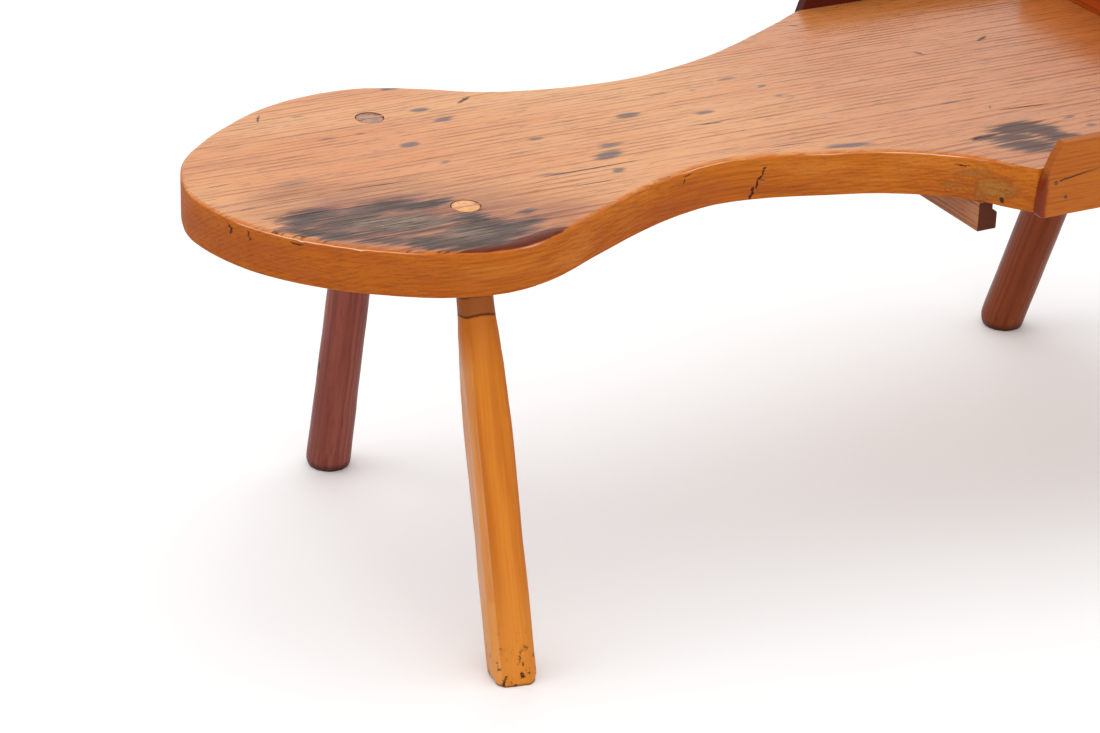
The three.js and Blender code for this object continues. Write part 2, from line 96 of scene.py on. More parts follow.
knot_brown = (0.17, 0.05, 0.012)

# Marks in the top: middle along and across, half length, half width, turn in degrees, strength.
scorch_marks = [
    (-508, -67, 30, 13, 0, 0.95), (-487, -91, 34, 19, 0, 1), (-452, -74, 50, 14, 2, 0.85),
    (-455, -112, 50, 22, -14, 0.86), (-412, -84, 26, 10, 6, 0.95), (-388, -130, 16, 20, 20, 1.05),
    (-386, -156, 36, 22, -10, 1.25), (-428, -160, 42, 11, -26, 0.95), (-352, -153, 20, 8, 8, 0.75),
    (-340, -134, 10, 5, 0, 0.6), (-512, -106, 26, 13, -42, 0.95), (-478, -134, 34, 11, -38, 0.62),
    (-440, -162, 30, 12, -30, 0.9), (-408, -176, 34, 10, -8, 1.1), (-520, -78, 18, 10, -10, 0.8),
    (-526, -96, 22, 9, -36, 0.9),
]
toasted_marks = [
    (-462, -56, 90, 40, -4, 0.8), (-400, -110, 90, 52, -6, 0.95), (-338, -146, 56, 30, 4, 0.85),
    (-510, -16, 40, 18, 8, 0.6), (-470, -130, 70, 40, -30, 0.85),
]
grey_marks = [(-452, -104, 45, 20, -12, 1), (-415, -148, 26, 12, -20, 0.7)]
rim_marks = [(-366, -187, 36, 7, 16, 1.2), (-404, -190, 30, 6, -4, 0.9)]
stain_marks = [
    (163, -141, 28, 14, 0, 1.15), (180, -156, 20, 14, 0, 1.05), (146, -160, 30, 10, -8, 0.8),
    (120, -148, 18, 5, 2, 1), (150, -182, 34, 18, -26, 0.78), (186, -176, 20, 16, -20, 0.9),
]
dark_spots = [
    (-317.5, 116.7, 9.5, 5, 0, 1), (-307.5, 88, 10, 5.6, 0, 1), (-363, 44.5, 9.8, 6, 4, 1.1),
    (-254.4, 11.6, 9.5, 4.8, 0, 0.8), (-352.3, -4.6, 8, 3.6, 20, 0.6), (-393.2, 85.7, 6, 3, 0, 0.6),
    (-426.2, 86, 12, 2.8, 3, 0.6), (-426.2, 146.1, 8, 2.6, 0, 0.5), (-319.8, 176.8, 10, 4, -6, 1.3),
    (-150.5, 29.1, 12.5, 5.6, 0, 1.1), (-81.7, 6.6, 11, 3.4, 0, 0.95), (-19.2, 73.3, 11, 4.2, 0, 0.6),
    (-63.2, 61.2, 6, 3.6, 0, 0.5), (1.6, 44.3, 6.2, 3, 0, 0.9), (3.9, 16, 6.6, 3.6, 0, 0.6),
    (-200.3, -28.6, 13, 5, 4, 0.85), (-213.1, -48.1, 17, 8, 18, 1), (-220.8, -82.3, 8, 5.6, 0, 0.85),
    (-3.5, -115, 24, 5.2, -10, 1.1), (142.5, -62.9, 10, 2.2, 0, 0.95), (222.2, -138.3, 8, 3, 0, 0.8),
    (228.8, -162.2, 6, 3.4, 0, 0.9), (-495.6, 3.7, 28, 11, 6, 0.42), (-278.4, -67.7, 25.1, 3, -8, 0.6),
]
long_cracks = [
    (-508, -28, 40, 0.8, -1, 0.75), (-430, -29, 45, 1, -2, 0.9), (-498, -62.5, 44, 1.1, -4, 1.1),
    (-543.6, -57.3, 12, 0.8, -1, 0.8), (-240, -70, 55, 1.1, 0, 1), (-256.9, -100, 26, 0.9, -3, 0.9),
    (-556, 25, 16, 1.2, 4, 0.7), (-90.9, -19.2, 14, 1, -3, 1), (-49.4, -93.2, 24, 1, -5, 0.8),
    (-98.7, 63.7, 16, 0.9, -3, 0.8), (-32.7, -25.3, 20, 0.9, -4, 0.6), (199.6, -100, 26, 1.3, -5, 1.2),
    (120, -148, 40, 0.8, 1, 0.7),
]
short_cuts = [
    (-461.1, 155.2, 11.5, 1.5, 62, 0.8), (-534.5, -103.5, 4, 1.2, -50, 1), (-269.9, 123.3, 11, 2.6, 34, 1),
    (187.6, 58.5, 8, 2.2, -58, 0.9), (267.7, 68.7, 10, 2.4, 30, 1), (169.9, -87.4, 6, 2, 60, 0.6),
    (117.2, 172.8, 8.5, 1.8, -24, 0.8), (111, -149, 6, 2.2, 24, 1.1),
]

# Marks in the front of the plank: middle along and up, half length, half height, turn, strength.
side_cracks = [
    (-84.8, 387.6, 2.2, 1.4, 20, 1), (-86.2, 383.8, 2.8, 1, 66, 1.1), (-84.6, 382.2, 2.2, 0.6, 0, 0.8),
    (-88.5, 379.2, 3.4, 1.1, 50, 1.1), (-87.5, 376.2, 4, 0.6, -12, 0.9), (-91.5, 373, 4.2, 1.2, 84, 1.1),
    (-95, 369, 2, 1.4, 40, 0.9), (-94.8, 365, 4.6, 1.2, 78, 1.1), (-96.5, 361.2, 3, 1.4, 90, 1),
    (-169, 390, 2.6, 0.7, 60, 0.9), (-165.5, 394.5, 5, 0.7, 12, 0.9), (-574.2, 390, 5, 0.5, 96, 0.9),
    (-565.5, 390, 6, 0.5, 94, 0.8), (-540, 394, 4, 1.2, 0, 0.8), (103.5, 364, 3.4, 1.1, 108, 0.9),
    (79, 390.5, 6, 1, 2, 0.8),
]
knot_marks = [
    (100, 374, 11.5, 8.5, 0, 1.15), (86, 385, 12, 2.6, 24, 0.9), (70, 370, 9, 1.6, -10, 0.7),
    (93, 364, 6, 4, 0, 0.8),
]
# A mark has faded to nothing at this many times its half length.
mark_fade = 1.6
knot_heart = (0.0785, 0.3665)
knot_reach = 0.0125
knot_ring_gap = 0.0026

# Where the top edge has broken away: middle along and across, half length, extra depth.
edge_chips = [
    (-366, -186, 26, 3), (-392, -190, 14, 1.6), (-500, -142, 4, 2.2), (-560, -60, 2.2, 1.4),
    (-574, -32, 2, 1.4), (-538, -107, 2, 1.4), (-165, -104, 6, 1.4), (90, -188, 3, 1.6),
    (108, -212, 3, 1.2),
]


class Finish:
    """A finish in the making: each call lays one step of it and gives the output to use next."""

    def __init__(self, name):
        self.material = bpy.data.materials.new(name)
        self.material.use_nodes = True
        self.tree = self.material.node_tree
        self.shader = self.tree.nodes["Principled BSDF"]
        self.place = self.lay("TexCoord").outputs["Object"]
        self.colour = None

    def lay(self, kind, inputs=(), **settings):
        """Adds one step with its settings, and joins or writes what goes into it."""
        step = self.tree.nodes.new("ShaderNode" + kind)
        for name, value in settings.items():
            setattr(step, name, value)
        for name, value in dict(inputs).items():
            if isinstance(value, bpy.types.NodeSocket):
                self.tree.links.new(value, step.inputs[name])
            else:
                step.inputs[name].default_value = value
        return step

    def maths(self, operation, a, b=0.0, c=0.0):
        return self.lay("Math", {0: a, 1: b, 2: c}, operation=operation).outputs[0]

    def times(self, first, *others):
        for other in others:
            first = self.maths("MULTIPLY", first, other)
        return first

    def lift(self, value, share, base):
        """A share of a value on top of a base."""
        return self.maths("MULTIPLY_ADD", value, share, base)

    def plus(self, a, b):
        return self.maths("ADD", a, b)

    def less(self, a, b):
        return self.maths("SUBTRACT", a, b)

    def most(self, a, b):
        return self.maths("MAXIMUM", a, b)

    def vector(self, operation, a, b=(0, 0, 0)):
        step = self.lay("VectorMath", {0: a, 1: b}, operation=operation)
        return step.outputs["Value" if operation == "LENGTH" else "Vector"]

    def split(self, place):
        return self.lay("SeparateXYZ", {0: place}).outputs

    def facing(self, axis):
        """How far the surface looks along an axis."""
        return self.split(self.lay("NewGeometry").outputs["Normal"])[axis]

    def worn(self):
        return self.lay("Attribute", attribute_name="worn").outputs["Fac"]

    def span(self, value, low, high, to_low=0.0, to_high=1.0):
        """Eases from one value to another while the given value goes from low to high."""
        inputs = {"Value": value, "From Min": low, "From Max": high, "To Min": to_low, "To Max": to_high}
        return self.lay("MapRange", inputs, interpolation_type="SMOOTHSTEP").outputs["Result"]

    def band(self, value, low, middle, high, left=0.0):
        """Rises to the middle and falls again, to nothing or to what is left."""
        return self.times(self.span(value, low, middle), self.span(value, middle, high, 1, left))

    def mix(self, share, a, b):
        a, b = (tuple(v) + (1.0,) if isinstance(v, tuple) else v for v in (a, b))
        return self.lay("Mix", {0: share, 6: a, 7: b}, data_type="RGBA").outputs[2]

    def tint(self, share, shade):
        """Lays a share of another shade over the colour so far."""
        self.colour = self.mix(share, self.colour, shade)

    def wash(self, value, low, high, share, shade):
        """Lays up to a share of another shade where a value goes from low to high."""
        self.tint(self.span(value, low, high, 0, share), shade)

    def cloud(self, scale, detail=3.0, roughness=0.55, place=None, colour=False):
        """Soft random patches, with how many of them fit into a metre along each axis."""
        scaled = self.vector("MULTIPLY", place or self.place, scale)
        inputs = {"Vector": scaled, "Scale": 1.0, "Detail": detail, "Roughness": roughness}
        return self.lay("TexNoise", inputs).outputs["Color" if colour else "Fac"]

    def wander(self, scale, detail, roughness, place=None):
        """A cloud of small steps to all sides."""
        steps = self.cloud(scale, detail, roughness, place, colour=True)
        return self.vector("SUBTRACT", steps, (0.5, 0.5, 0.5))

    def pushed(self, place, steps, reach):
        """The place, moved to and fro by random steps of about this reach."""
        return self.vector("ADD", place, self.vector("MULTIPLY", steps, reach))

    def spots(self, place, marks, soft=0.0):
        """How dark a set of oval marks is: each fades from its middle to its edge."""
        total = 0.0
        for *oval, turn, strength in marks:
            along, across, length, width = (value / 1000 for value in oval)
            inputs = {
                "Vector": place,
                "Location": (along, across, 0),
                "Rotation": (0, 0, math.radians(turn)),
                "Scale": (length * mark_fade, width * mark_fade, 1000),
            }
            local = self.lay("Mapping", inputs, vector_type="TEXTURE").outputs[0]
            near = self.lay("TexGradient", {0: local}, gradient_type="SPHERICAL").outputs[1]
            total = self.most(total, self.span(near, 0, 1 - soft / mark_fade, 0, strength))
        return total

    def dress(self, roughness, height, coat, coat_roughness, depth, shine):
        """Joins the colour, the roughness and the relief to the shader."""
        bump = self.lay("Bump", {"Height": height, "Strength": 1, "Distance": depth}).outputs[0]
        for name, value in (
            ("Base Color", self.colour), ("Roughness", roughness), ("Normal", bump), ("Coat Normal", bump),
            ("Coat Weight", coat), ("Coat Roughness", coat_roughness), ("Specular IOR Level", shine),
        ):
            if isinstance(value, bpy.types.NodeSocket):
                self.tree.links.new(value, self.shader.inputs[name])
            else:
                self.shader.inputs[name].default_value = value
        return self.material


def grain(f, axis, shift, ring_gap, heart, wander):
    """Growth rings round a heart that lies along the grain, with fibres, pores and a slow drift."""
    split = f.split(f.vector("ADD", f.place, shift))
    place = f.lay("CombineXYZ", {k: split[(axis + k) % 3] for k in range(3)}).outputs[0]
    bent = f.pushed(place, f.wander((2.4, 11, 11), 2, 0.5, place), (0, wander, wander))
    from_heart = f.vector("MULTIPLY", f.vector("SUBTRACT", bent, (0, *heart)), (0, 1, 1))
    ring = f.maths("FRACT", f.maths("DIVIDE", f.vector("LENGTH", from_heart), ring_gap))
    return SimpleNamespace(
        late=f.band(ring, 0.35, 0.92, 1),
        broken=f.span(f.cloud((9, 150, 150), 5, 0.68, bent), 0.42, 0.6),
        fibre=f.cloud((16, 520, 520), 4, 0.65, bent),
        pores=f.span(f.cloud((46, 900, 900), 2, 0.5, bent), 0.58, 0.7),
        streak=f.cloud((3.4, 74, 74), 4, 0.6, bent),
        slow=f.cloud((2.1, 9, 9), 3, 0.5, place),
        place=place,
        bent=bent,
    )


def around(count):
    return [k / count * math.tau for k in range(count)]


def wheel(angle, reach):
    return reach * math.cos(angle), reach * math.sin(angle)


def placed(name, data):
    thing = bpy.data.objects.new(name, data)
    bpy.context.scene.collection.objects.link(thing)
    return thing


def shape(name, points, faces, sharpest, worn=None):
    """A piece from its points and faces, smooth but for edges sharper than an angle in degrees, with
    a note on each point of how worn it is."""
    mesh = bpy.data.meshes.new(name)
    mesh.from_pydata(points, [], faces)
    if worn:
        mesh.attributes.new("worn", "FLOAT", "POINT").data.foreach_set("value", worn)
    shaped = bmesh.new()
    shaped.from_mesh(mesh)
    bmesh.ops.remove_doubles(shaped, verts=shaped.verts, dist=same_spot)
    bmesh.ops.recalc_face_normals(shaped, faces=shaped.faces)
    shaped.to_mesh(mesh)
    shaped.free()
    mesh.shade_smooth()
    mesh.set_sharp_from_angle(angle=math.radians(sharpest))
    return placed(name, mesh)


def sawn_outline(node, axis, level):
    """The outline a board was cut to, read off its solid at one level: points seen from above the axis."""
    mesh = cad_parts[node].data
    spots = [tuple(round(value, 5) for value in vertex.co) for vertex in mesh.vertices]
    beside = {}
    for face in mesh.polygons:
        corners = [spots[index] for index in face.vertices]
        for a, b in zip(corners, corners[1:] + corners[:1]):
            if a != b and max(abs(a[axis] - level), abs(b[axis] - level)) < same_level:
                beside.setdefault(a, set()).add(b)
                beside.setdefault(b, set()).add(a)
    here = min(beside)
    loop = [here]
    before = None
    while True:
        ahead = sorted(point for point in beside[here] if point != before)
        if ahead[0] == loop[0] and len(loop) > 2:
            break
        before, here = here, (ahead[0] if ahead[0] not in loop else ahead[-1])
        if here in loop:
            break
        loop.append(here)
    flat = [Vector((point[(axis + 1) % 3], point[(axis + 2) % 3])) for point in loop]
    area = sum(a.x * b.y - b.x * a.y for a, b in zip(flat, flat[1:] + flat[:1]))
    return flat if area > 0 else flat[::-1]


def inward(before, after):
    way = (after - before).normalized()
    return Vector((-way.y, way.x))


def smooth_run(points, step):
    """A curve through the points of one run of the outline, in steps of about the given length. A
    stretch that is long stays straight."""
    run = []
    for index in range(len(points) - 1):
        a, b = points[index], points[index + 1]
        length = (b - a).length
        before, after = a * 2 - b, b * 2 - a
        if length < straight_from:
            if index and (a - points[index - 1]).length < straight_from:
                before = a - (a - points[index - 1]).normalized() * length
            if index + 2 < len(points) and (points[index + 2] - b).length < straight_from:
                after = b + (points[index + 2] - b).normalized() * length
        count = max(1, math.ceil(length / step))
        for tick in range(count):
            t = tick / count
            run.append(
                0.5 * ((2 * a) + (b - before) * t + (2 * before - 5 * a + 4 * b - after) * t * t
                       + (3 * a - before - 3 * b + after) * t * t * t)
            )
    return run + [points[-1]]


def eased_outline(loop, step, corner_radius):
    """The outline with smooth runs and rounded outer corners: where each point is, its way in, and the
    way and depth at which it meets its neighbours at a corner."""
    count = len(loop)
    corners = []
    for index in range(count):
        after = loop[(index + 1) % count]
        if (loop[index] - loop[index - 1]).angle(after - loop[index]) <= math.radians(corner_from):
            continue
        first, second = inward(loop[index - 1], loop[index]), inward(loop[index], after)
        mitre = (first + second) / (1 + first.dot(second))
        radius = corner_radius if first.x * second.y - first.y * second.x > 0 else 0.0
        corners.append((index, first, second, mitre, radius, radius * math.tan(first.angle(second) / 2)))
    samples = []
    for number, (index, first, second, mitre, radius, setback) in enumerate(corners):
        centre = loop[index] + mitre * radius
        ticks = corner_ticks if radius else 0
        for tick in range(ticks + 1):
            way = first.lerp(second, tick / ticks if ticks else 0.5).normalized()
            samples.append((centre - way * radius, way, mitre, radius))
        last, *_, next_setback = corners[(number + 1) % len(corners)]
        run = [loop[(index + k) % count] for k in range(((last - index) % count or count) + 1)]
        run[0] = run[0] + (run[1] - run[0]).normalized() * setback
        run[-1] = run[-1] + (run[-2] - run[-1]).normalized() * next_setback
        curve = smooth_run(run, step)
        for k in range(1, len(curve) - 1):
            samples.append((curve[k], inward(curve[k - 1], curve[k + 1]), Vector((0, 0)), 1.0))
    return samples


def stood(axis, flat, level):
    """A point of a board's outline at a level along the axis that the board is seen from."""
    spot = [0.0, 0.0, 0.0]
    spot[(axis + 1) % 3], spot[(axis + 2) % 3], spot[axis] = flat.x, flat.y, level
    return Vector(spot)


def soft_edges(samples, axis, low, high, low_edge, high_edge, wear, chips):
    """Rings of points from the lower flat round both edges to the upper flat, and how worn each point is."""
    spread = [max(s[0][i] for s in samples) - min(s[0][i] for s in samples) for i in (0, 1)]
    rim = min(rim_width, min(high - low, *spread) * rim_share)
    steps = [("rim", 0.0), *(("arc", tick / corner_ticks) for tick in range(corner_ticks + 1)), ("wall", 0.0)]
    levels = [(False, low_edge, *step) for step in steps] + [(True, high_edge, *step) for step in steps[::-1]]
    points, worn = [], []
    for top, edge, kind, share in levels:
        for point, way, mitre, meet, fade in samples:
            spot = stood(axis, point, high if top else low)
            rough = noise.noise(spot * wear_broad) * 0.6 + noise.noise(spot * wear_fine) * 0.4
            away = [((spot - Vector((x, y, spot.z))).length / reach, deep) for x, y, reach, deep in chips]
            chip = sum(deep * math.exp(-far ** 2) for far, deep in away) if top else 0.0
            radius = edge * fade * (1 + wear * rough) + chip
            turn = share * math.pi / 2
            if kind == "rim":
                depth, rise = edge * fade + chip + rim, 0.0
            elif kind == "wall":
                depth, rise = 0.0, radius + rim
            else:
                depth, rise = radius * (1 - math.sin(turn)), radius * (1 - math.cos(turn))
            drawn_in = point + way * min(depth, meet) + mitre * max(0.0, depth - meet)
            points.append(stood(axis, drawn_in, high - rise if top else low + rise))
            worn.append(min(1.0, radius / worn_bare) if kind == "arc" and 0 < share < 1 else 0.0)
    return points, worn


def wall(below, above):
    """The faces between two rings of numbered points."""
    turns = [(k, (k + 1) % len(below)) for k in range(len(below))]
    return [(below[k], below[n], above[n], above[k]) for k, n in turns]


def soft_board(name, samples, axis, low, high, low_edge, high_edge, wear, holes=(), chips=()):
    """A board with rounded, worn edges between two levels, and any holes right through it."""
    points, worn = soft_edges(samples, axis, low, high, low_edge, high_edge, wear, chips)
    rings = [range(first, first + len(samples)) for first in range(0, len(points), len(samples))]
    faces = []
    for below, above in zip(rings, rings[1:]):
        faces += wall(below, above)
    openings = []
    for top, level, ring in ((0, low, rings[0]), (1, high, rings[-1])):
        numbers = [k for n, k in enumerate(ring) if (points[k] - points[ring[n - 1]]).length > same_spot]
        edges = [[points[k] for k in numbers]]
        for hole in holes:
            rim = [stood(axis, flat, level) for flat in hole[top]]
            openings.append(range(len(points), len(points) + len(rim)))
            numbers += openings[-1]
            points += rim
            worn += [0.0] * len(rim)
            edges.append(rim)
        faces += [[numbers[corner] for corner in corners] for corners in tessellate_polygon(edges)]
    for below, above in zip(openings, openings[len(holes):]):
        faces += wall(below, above)
    piece = shape(name, points, faces, plank_sharpest, worn)
    flats = piece.modifiers.new("true flats", "WEIGHTED_NORMAL")
    flats.weight = 100
    flats.keep_sharp = True
    return piece


def fit(piece, node, body, material):
    """Stands the piece in for its solid, on its body, with its finish."""
    piece.data.materials.append(material)
    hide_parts(node)
    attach(piece, body)


# The four mortises, each on the line from a leg's foot to its head.
mortise_radius = 0.0133
mortise_sides = 48
# Where each leg's foot stands on the floor and its head comes out of the plank.
leg_stands = {
    "front_left": ((-0.38577, -0.21817), (-0.38077, -0.10017)),
    "back_left": ((-0.35847, 0.22383), (-0.36777, 0.11783)),
    "back_right": ((0.43673, 0.22183), (0.45973, 0.09283)),
    "front_right": ((0.43923, -0.21617), (0.45723, -0.10917)),
}
plank_low, plank_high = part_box("seat_plank")


def leg_frame(leg):
    """A leg's own frame: its foot at the origin and its length along Z."""
    foot, head = (Vector((*spot, level)) for spot, level in zip(leg_stands[leg], (0, plank_high.z)))
    turn = Vector((0, 0, 1)).rotation_difference(head - foot)
    return Matrix.Translation(foot) @ turn.to_matrix().to_4x4()


def own_point(stand, x, y, level):
    """The point of a leg's lengthwise line through x, y that lies at the given height, in its own frame."""
    row = stand[2]
    return Vector((x, y, (level - row[3] - row[0] * x - row[1] * y) / row[2]))


mortise_wheel = [wheel(angle, mortise_radius) for angle in around(mortise_sides)]
mortises = []
for leg in leg_stands:
    stand = leg_frame(leg)
    mortises.append([
        [(stand @ own_point(stand, x, y, level)).to_2d() for x, y in mortise_wheel]
        for level in (plank_low.z, plank_high.z)
    ])
sawn = sawn_outline("seat_plank", 2, plank_low.z + plank_solid_edge)
railed_from = Vector((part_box("front_rail")[0].x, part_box("back_rail")[0].x))


def edge_fade(point):
    """The rounded edge runs out where the tray's boards cover it."""
    start = railed_from.x if point.y < 0 else railed_from.y
    return min(1.0, max(least_edge, (start - point.x) / plank_edge_fade))


samples = [(*sample, edge_fade(sample[0])) for sample in eased_outline(sawn, plank_step, plank_corner)]
chips = [[value / 1000 for value in chip] for chip in edge_chips]
seat_plank = soft_board("plank", samples, 2, plank_low.z, plank_high.z,
                        plank_under_edge, plank_edge, plank_wear, mortises, chips)


def knotty_front(f, along, across, up, facing):
    """The front's splits, and its knot by the rail with rings round its heart."""
    front = f.lay("CombineXYZ", {0: along, 1: up}).outputs[0]
    rough_front = f.wander((120, 120, 150), 4, 0.75)
    strayed = f.pushed(front, rough_front, (0.0065, 0.0065, 0))
    on_front = f.times(f.span(across, 0, -0.02), f.span(facing, 0.5, 0.2))
    splits = f.times(f.spots(strayed, side_cracks, 0.3), on_front)
    wild = f.pushed(front, rough_front, (0.026, 0.02, 0))
    knotted = f.times(f.spots(wild, knot_marks, 0.3), on_front)
    from_knot = f.vector("MULTIPLY", f.vector("SUBTRACT", strayed, (*knot_heart, 0)), (0.7, 1.25, 0))
    swirl = f.vector("LENGTH", from_knot)
    swirl_ring = f.maths("FRACT", f.maths("DIVIDE", swirl, knot_ring_gap))
    swirl_line = f.times(f.span(swirl_ring, 0.35, 0.9), f.span(swirl, knot_reach * 0.4, knot_reach, 1, 0))
    gnarled = f.span(f.cloud((90, 170, 0), 4, 0.7, wild), 0.36, 0.6)
    f.wash(knotted, 0.04, 0.4, 0.45, knot_brown)
    f.tint(f.times(f.span(knotted, 0.25, 1, 0, 0.9), gnarled), knot_yellow)
    f.tint(f.times(swirl_line, f.times(on_front, 0.55)), knot_brown)
    f.wash(splits, 0.3, 0.8, 0.92, char_black)


def plank_finish():
    f = Finish("plank varnish")
    wood = grain(f, 0, (0, 0, 0), 0.004, (-0.42, -0.22), 0.008)
    bent = wood.bent
    along, across, up = f.split(f.place)
    facing = f.facing(2)
    top = f.span(facing, 0.25, 0.85)
    brow = f.span(facing, 0.3, 0.75)
    tone = f.span(wood.slow, 0.32, 0.68)

    # The top, its peach patches and its tone paler than the side's partly painted sheen, darker and redder
    # toward the tray as painted shade for the weaker reflection there, and the amber side with its reddish
    # and honey patches.
    # Painted sheen: the peach shade is laid where the slow tone is high, and the top's colour is paler than
    # the side's.
    face = f.mix(tone, plank_orange, plank_peach_sheen)
    figure = f.span(f.cloud((5, 60, 640), 3, 0.6, bent), 0.4, 0.62)
    depth = f.span(up, plank_high.z, plank_low.z, 0, 0.8)
    side = f.mix(f.lift(figure, 0.6, f.times(depth, 0.5)), plank_amber, plank_deep_amber)
    # Painted shade: the top turns tan, then rust toward the tray, standing in for the weaker reflection
    # there.
    face = f.mix(f.span(along, -0.12, 0.12, 0, 0.72), face, plank_tan)
    face = f.mix(f.span(along, 0.12, 0.42, 0, 0.75), face, plank_rust)
    side = f.mix(f.span(along, -0.25, -0.45, 0, 0.35), side, plank_deep_amber)
    blush = f.cloud((5, 5, 22), 4, 0.6)
    side = f.mix(f.span(blush, 0.5, 0.66, 0, 0.6), side, plank_russet)
    side = f.mix(f.span(blush, 0.46, 0.34, 0, 0.45), side, plank_honey)
    f.colour = f.mix(top, side, face)

    # The grain.
    f.wash(wood.streak, 0.5, 0.74, f.span(top, 0, 1, 0.16, 0.3), plank_brown)
    lines = f.times(wood.late, wood.broken)
    f.tint(f.times(lines, f.span(top, 0, 1, 0.3, 0.5)), plank_line)
    f.wash(wood.fibre, 0.5, 0.74, 0.34, plank_brown)
    f.tint(f.times(wood.pores, f.span(top, 0, 1, 0.22, 0.62)), plank_line)

    # The scorch: brown smoke, a red-brown edge, then char with ashen lines, licking along the grain.
    ragged = f.wander((26, 190, 0), 4, 0.65, bent)
    torn = f.pushed(f.place, ragged, (0.06, 0.016, 0))
    nicked = f.pushed(f.place, ragged, (0.01, 0.0036, 0))
    licks = f.cloud((13, 300, 300), 3, 0.6, bent)
    lick_depth = f.span(licks, 0.3, 0.7, -0.36, 0.36)
    burnt = f.times(f.spots(torn, scorch_marks, 0.12), 1.12)
    rim = f.times(f.spots(nicked, rim_marks, 0.5), brow)
    burnt = f.most(burnt, rim)
    streaked = f.times(f.lift(f.span(burnt, 0.04, 0.3), lick_depth, burnt), brow)
    ashen = f.lift(f.spots(torn, grey_marks, 0.2), 0.75, 0.25)
    ashen = f.times(ashen, f.span(f.cloud((20, 540, 540), 4, 0.75, bent), 0.42, 0.6))
    charred = f.mix(f.span(rim, 0.2, 0.6, 0, 0.8), f.mix(ashen, char_black, char_grey), char_rim)
    toasted = f.times(f.spots(torn, toasted_marks), f.span(licks, 0.3, 0.62, 0.55, 1.3))
    f.tint(f.times(f.most(toasted, f.span(burnt, 0, 0.22, 0, 0.62)), top), plank_toasted)
    f.wash(streaked, 0.02, 0.46, 0.9, char_red)
    f.wash(streaked, 0.26, 0.9, 0.96, charred)

    # The stain by the rail, the dark spots and the cracks.
    frayed = f.pushed(f.place, ragged, (0.03, 0.007, 0))
    stained = f.times(f.spots(frayed, stain_marks, 0.05), 1.1)
    stained = f.times(f.lift(f.span(stained, 0.04, 0.3), f.times(lick_depth, 0.7), stained), top)
    f.wash(stained, 0.08, 0.7, 0.96, stain_purple)
    smeared = f.pushed(f.place, ragged, (0.022, 0.006, 0))
    f.wash(f.times(f.spots(smeared, dark_spots, 0.1), top), 0.08, 0.8, 0.85, spot_grey)
    opened = f.spots(nicked, long_cracks, 0.1)
    cracks = f.times(f.most(opened, f.spots(nicked, short_cuts, 0.1)), top)
    f.wash(cracks, 0.2, 0.8, 0.88, char_black)

    knotty_front(f, along, across, up, facing)

    # The dry underside with its saw marks, and the arris, lighter partly from rubbed wear and partly as a
    # painted highlight, with a painted glint line along it.
    dry = f.mix(f.span(tone, 0, 1, 0.25, 0.75), plank_dry, plank_brown)
    sawn = f.most(f.span(f.cloud((230, 5, 5), 2), 0.48, 0.62, 0, 0.3), wood.late)
    dry = f.mix(f.times(sawn, f.span(wood.broken, 0, 1, 0.35, 0.6)), dry, plank_line)
    f.tint(f.times(f.span(facing, -0.3, -0.8), 0.88), dry)
    worn = f.worn()
    rubbed = f.times(worn, f.span(f.cloud((60, 60, 60)), 0.35, 0.65))
    # Rubbed wear and painted highlight: the arris is tinted bright orange where it catches the light.
    f.tint(f.times(rubbed, f.span(streaked, 0.1, 0.6, 0.62, 0)), plank_arris_wear_and_highlight)
    # Painted highlight: a pale glint line along the lower part of the arris, broken by a cloud.
    painted_glint = f.times(f.band(facing, 0.26, 0.42, 0.6), f.span(f.cloud((8, 8, 8), 4, 0.6), 0.44, 0.62))
    f.tint(f.times(painted_glint, f.times(worn, 0.75)), plank_painted_glint)

    relief = f.lift(wood.fibre, 0.35, f.times(wood.streak, 0.5))
    relief = f.less(relief, f.times(lines, 0.45))
    relief = f.less(relief, f.times(opened, 1.6))
    relief = f.plus(relief, f.times(f.cloud((9, 16, 16), 2), 2.2))
    gloss = f.span(f.cloud((18, 40, 40)), 0.3, 0.7, 0.3, 0.44)
    gloss = f.lift(f.span(facing, 0.9, 0.3), 0.3, gloss)
    coat = f.times(f.span(facing, 0.7, 0.98, 0.02, 0.74), f.span(streaked, 0.3, 0.9, 1, 0.38))
    coat = f.times(coat, f.lift(f.most(lines, cracks), -0.7, 1))
    coat = f.times(coat, f.span(f.most(stained, f.times(rim, 1.4)), 0.1, 0.9, 1, 0.4))
    return f.dress(gloss, relief, coat, 0.13, 0.0003, 0.1)


fit(seat_plank, "seat_plank", "bench", plank_finish())


# The front left leg.
# Yellow birch, shaved to four flats with the corners taken off, drawn in to a round neck under the
# plank. Its tenon runs through the plank, is split by a wedge and planed off flush.

leg_faces = 72
leg_rings = 60
leg_sharpest = 48
shoulder_gap = 0.0003
shoulder_ease = 0.0009
shoulder_draw = 0.0008
tenon_radius = 0.013
tenon_drop = 0.0003
tenon_ease = 0.0006
neck_reach = 0.9
lump_across = 1.6
lump_along = 22
# Share of the height, width, and how flat the faces are there.
shaved_profile = [
    (0, 1, 1), (0.24, 1, 1), (0.335, 0.968, 1), (0.43, 0.986, 1), (0.6, 0.994, 0.95), (0.68, 0.968, 0.85),
    (0.715, 0.955, 0.7), (0.75, 0.944, 0.6), (0.785, 0.908, 0.5), (0.82, 0.879, 0.35), (0.85, 0.82, 0.25),
    (0.88, 0.79, 0.15), (0.93, 0.775, 0), (1, 0.765, 0),
]
shaved_radius = 0.0204
shaved_turn = 0.033
shaved_lumps = 0.00035
face_share = 0.93
corner_share = 0.68
corner_blend = 0.035
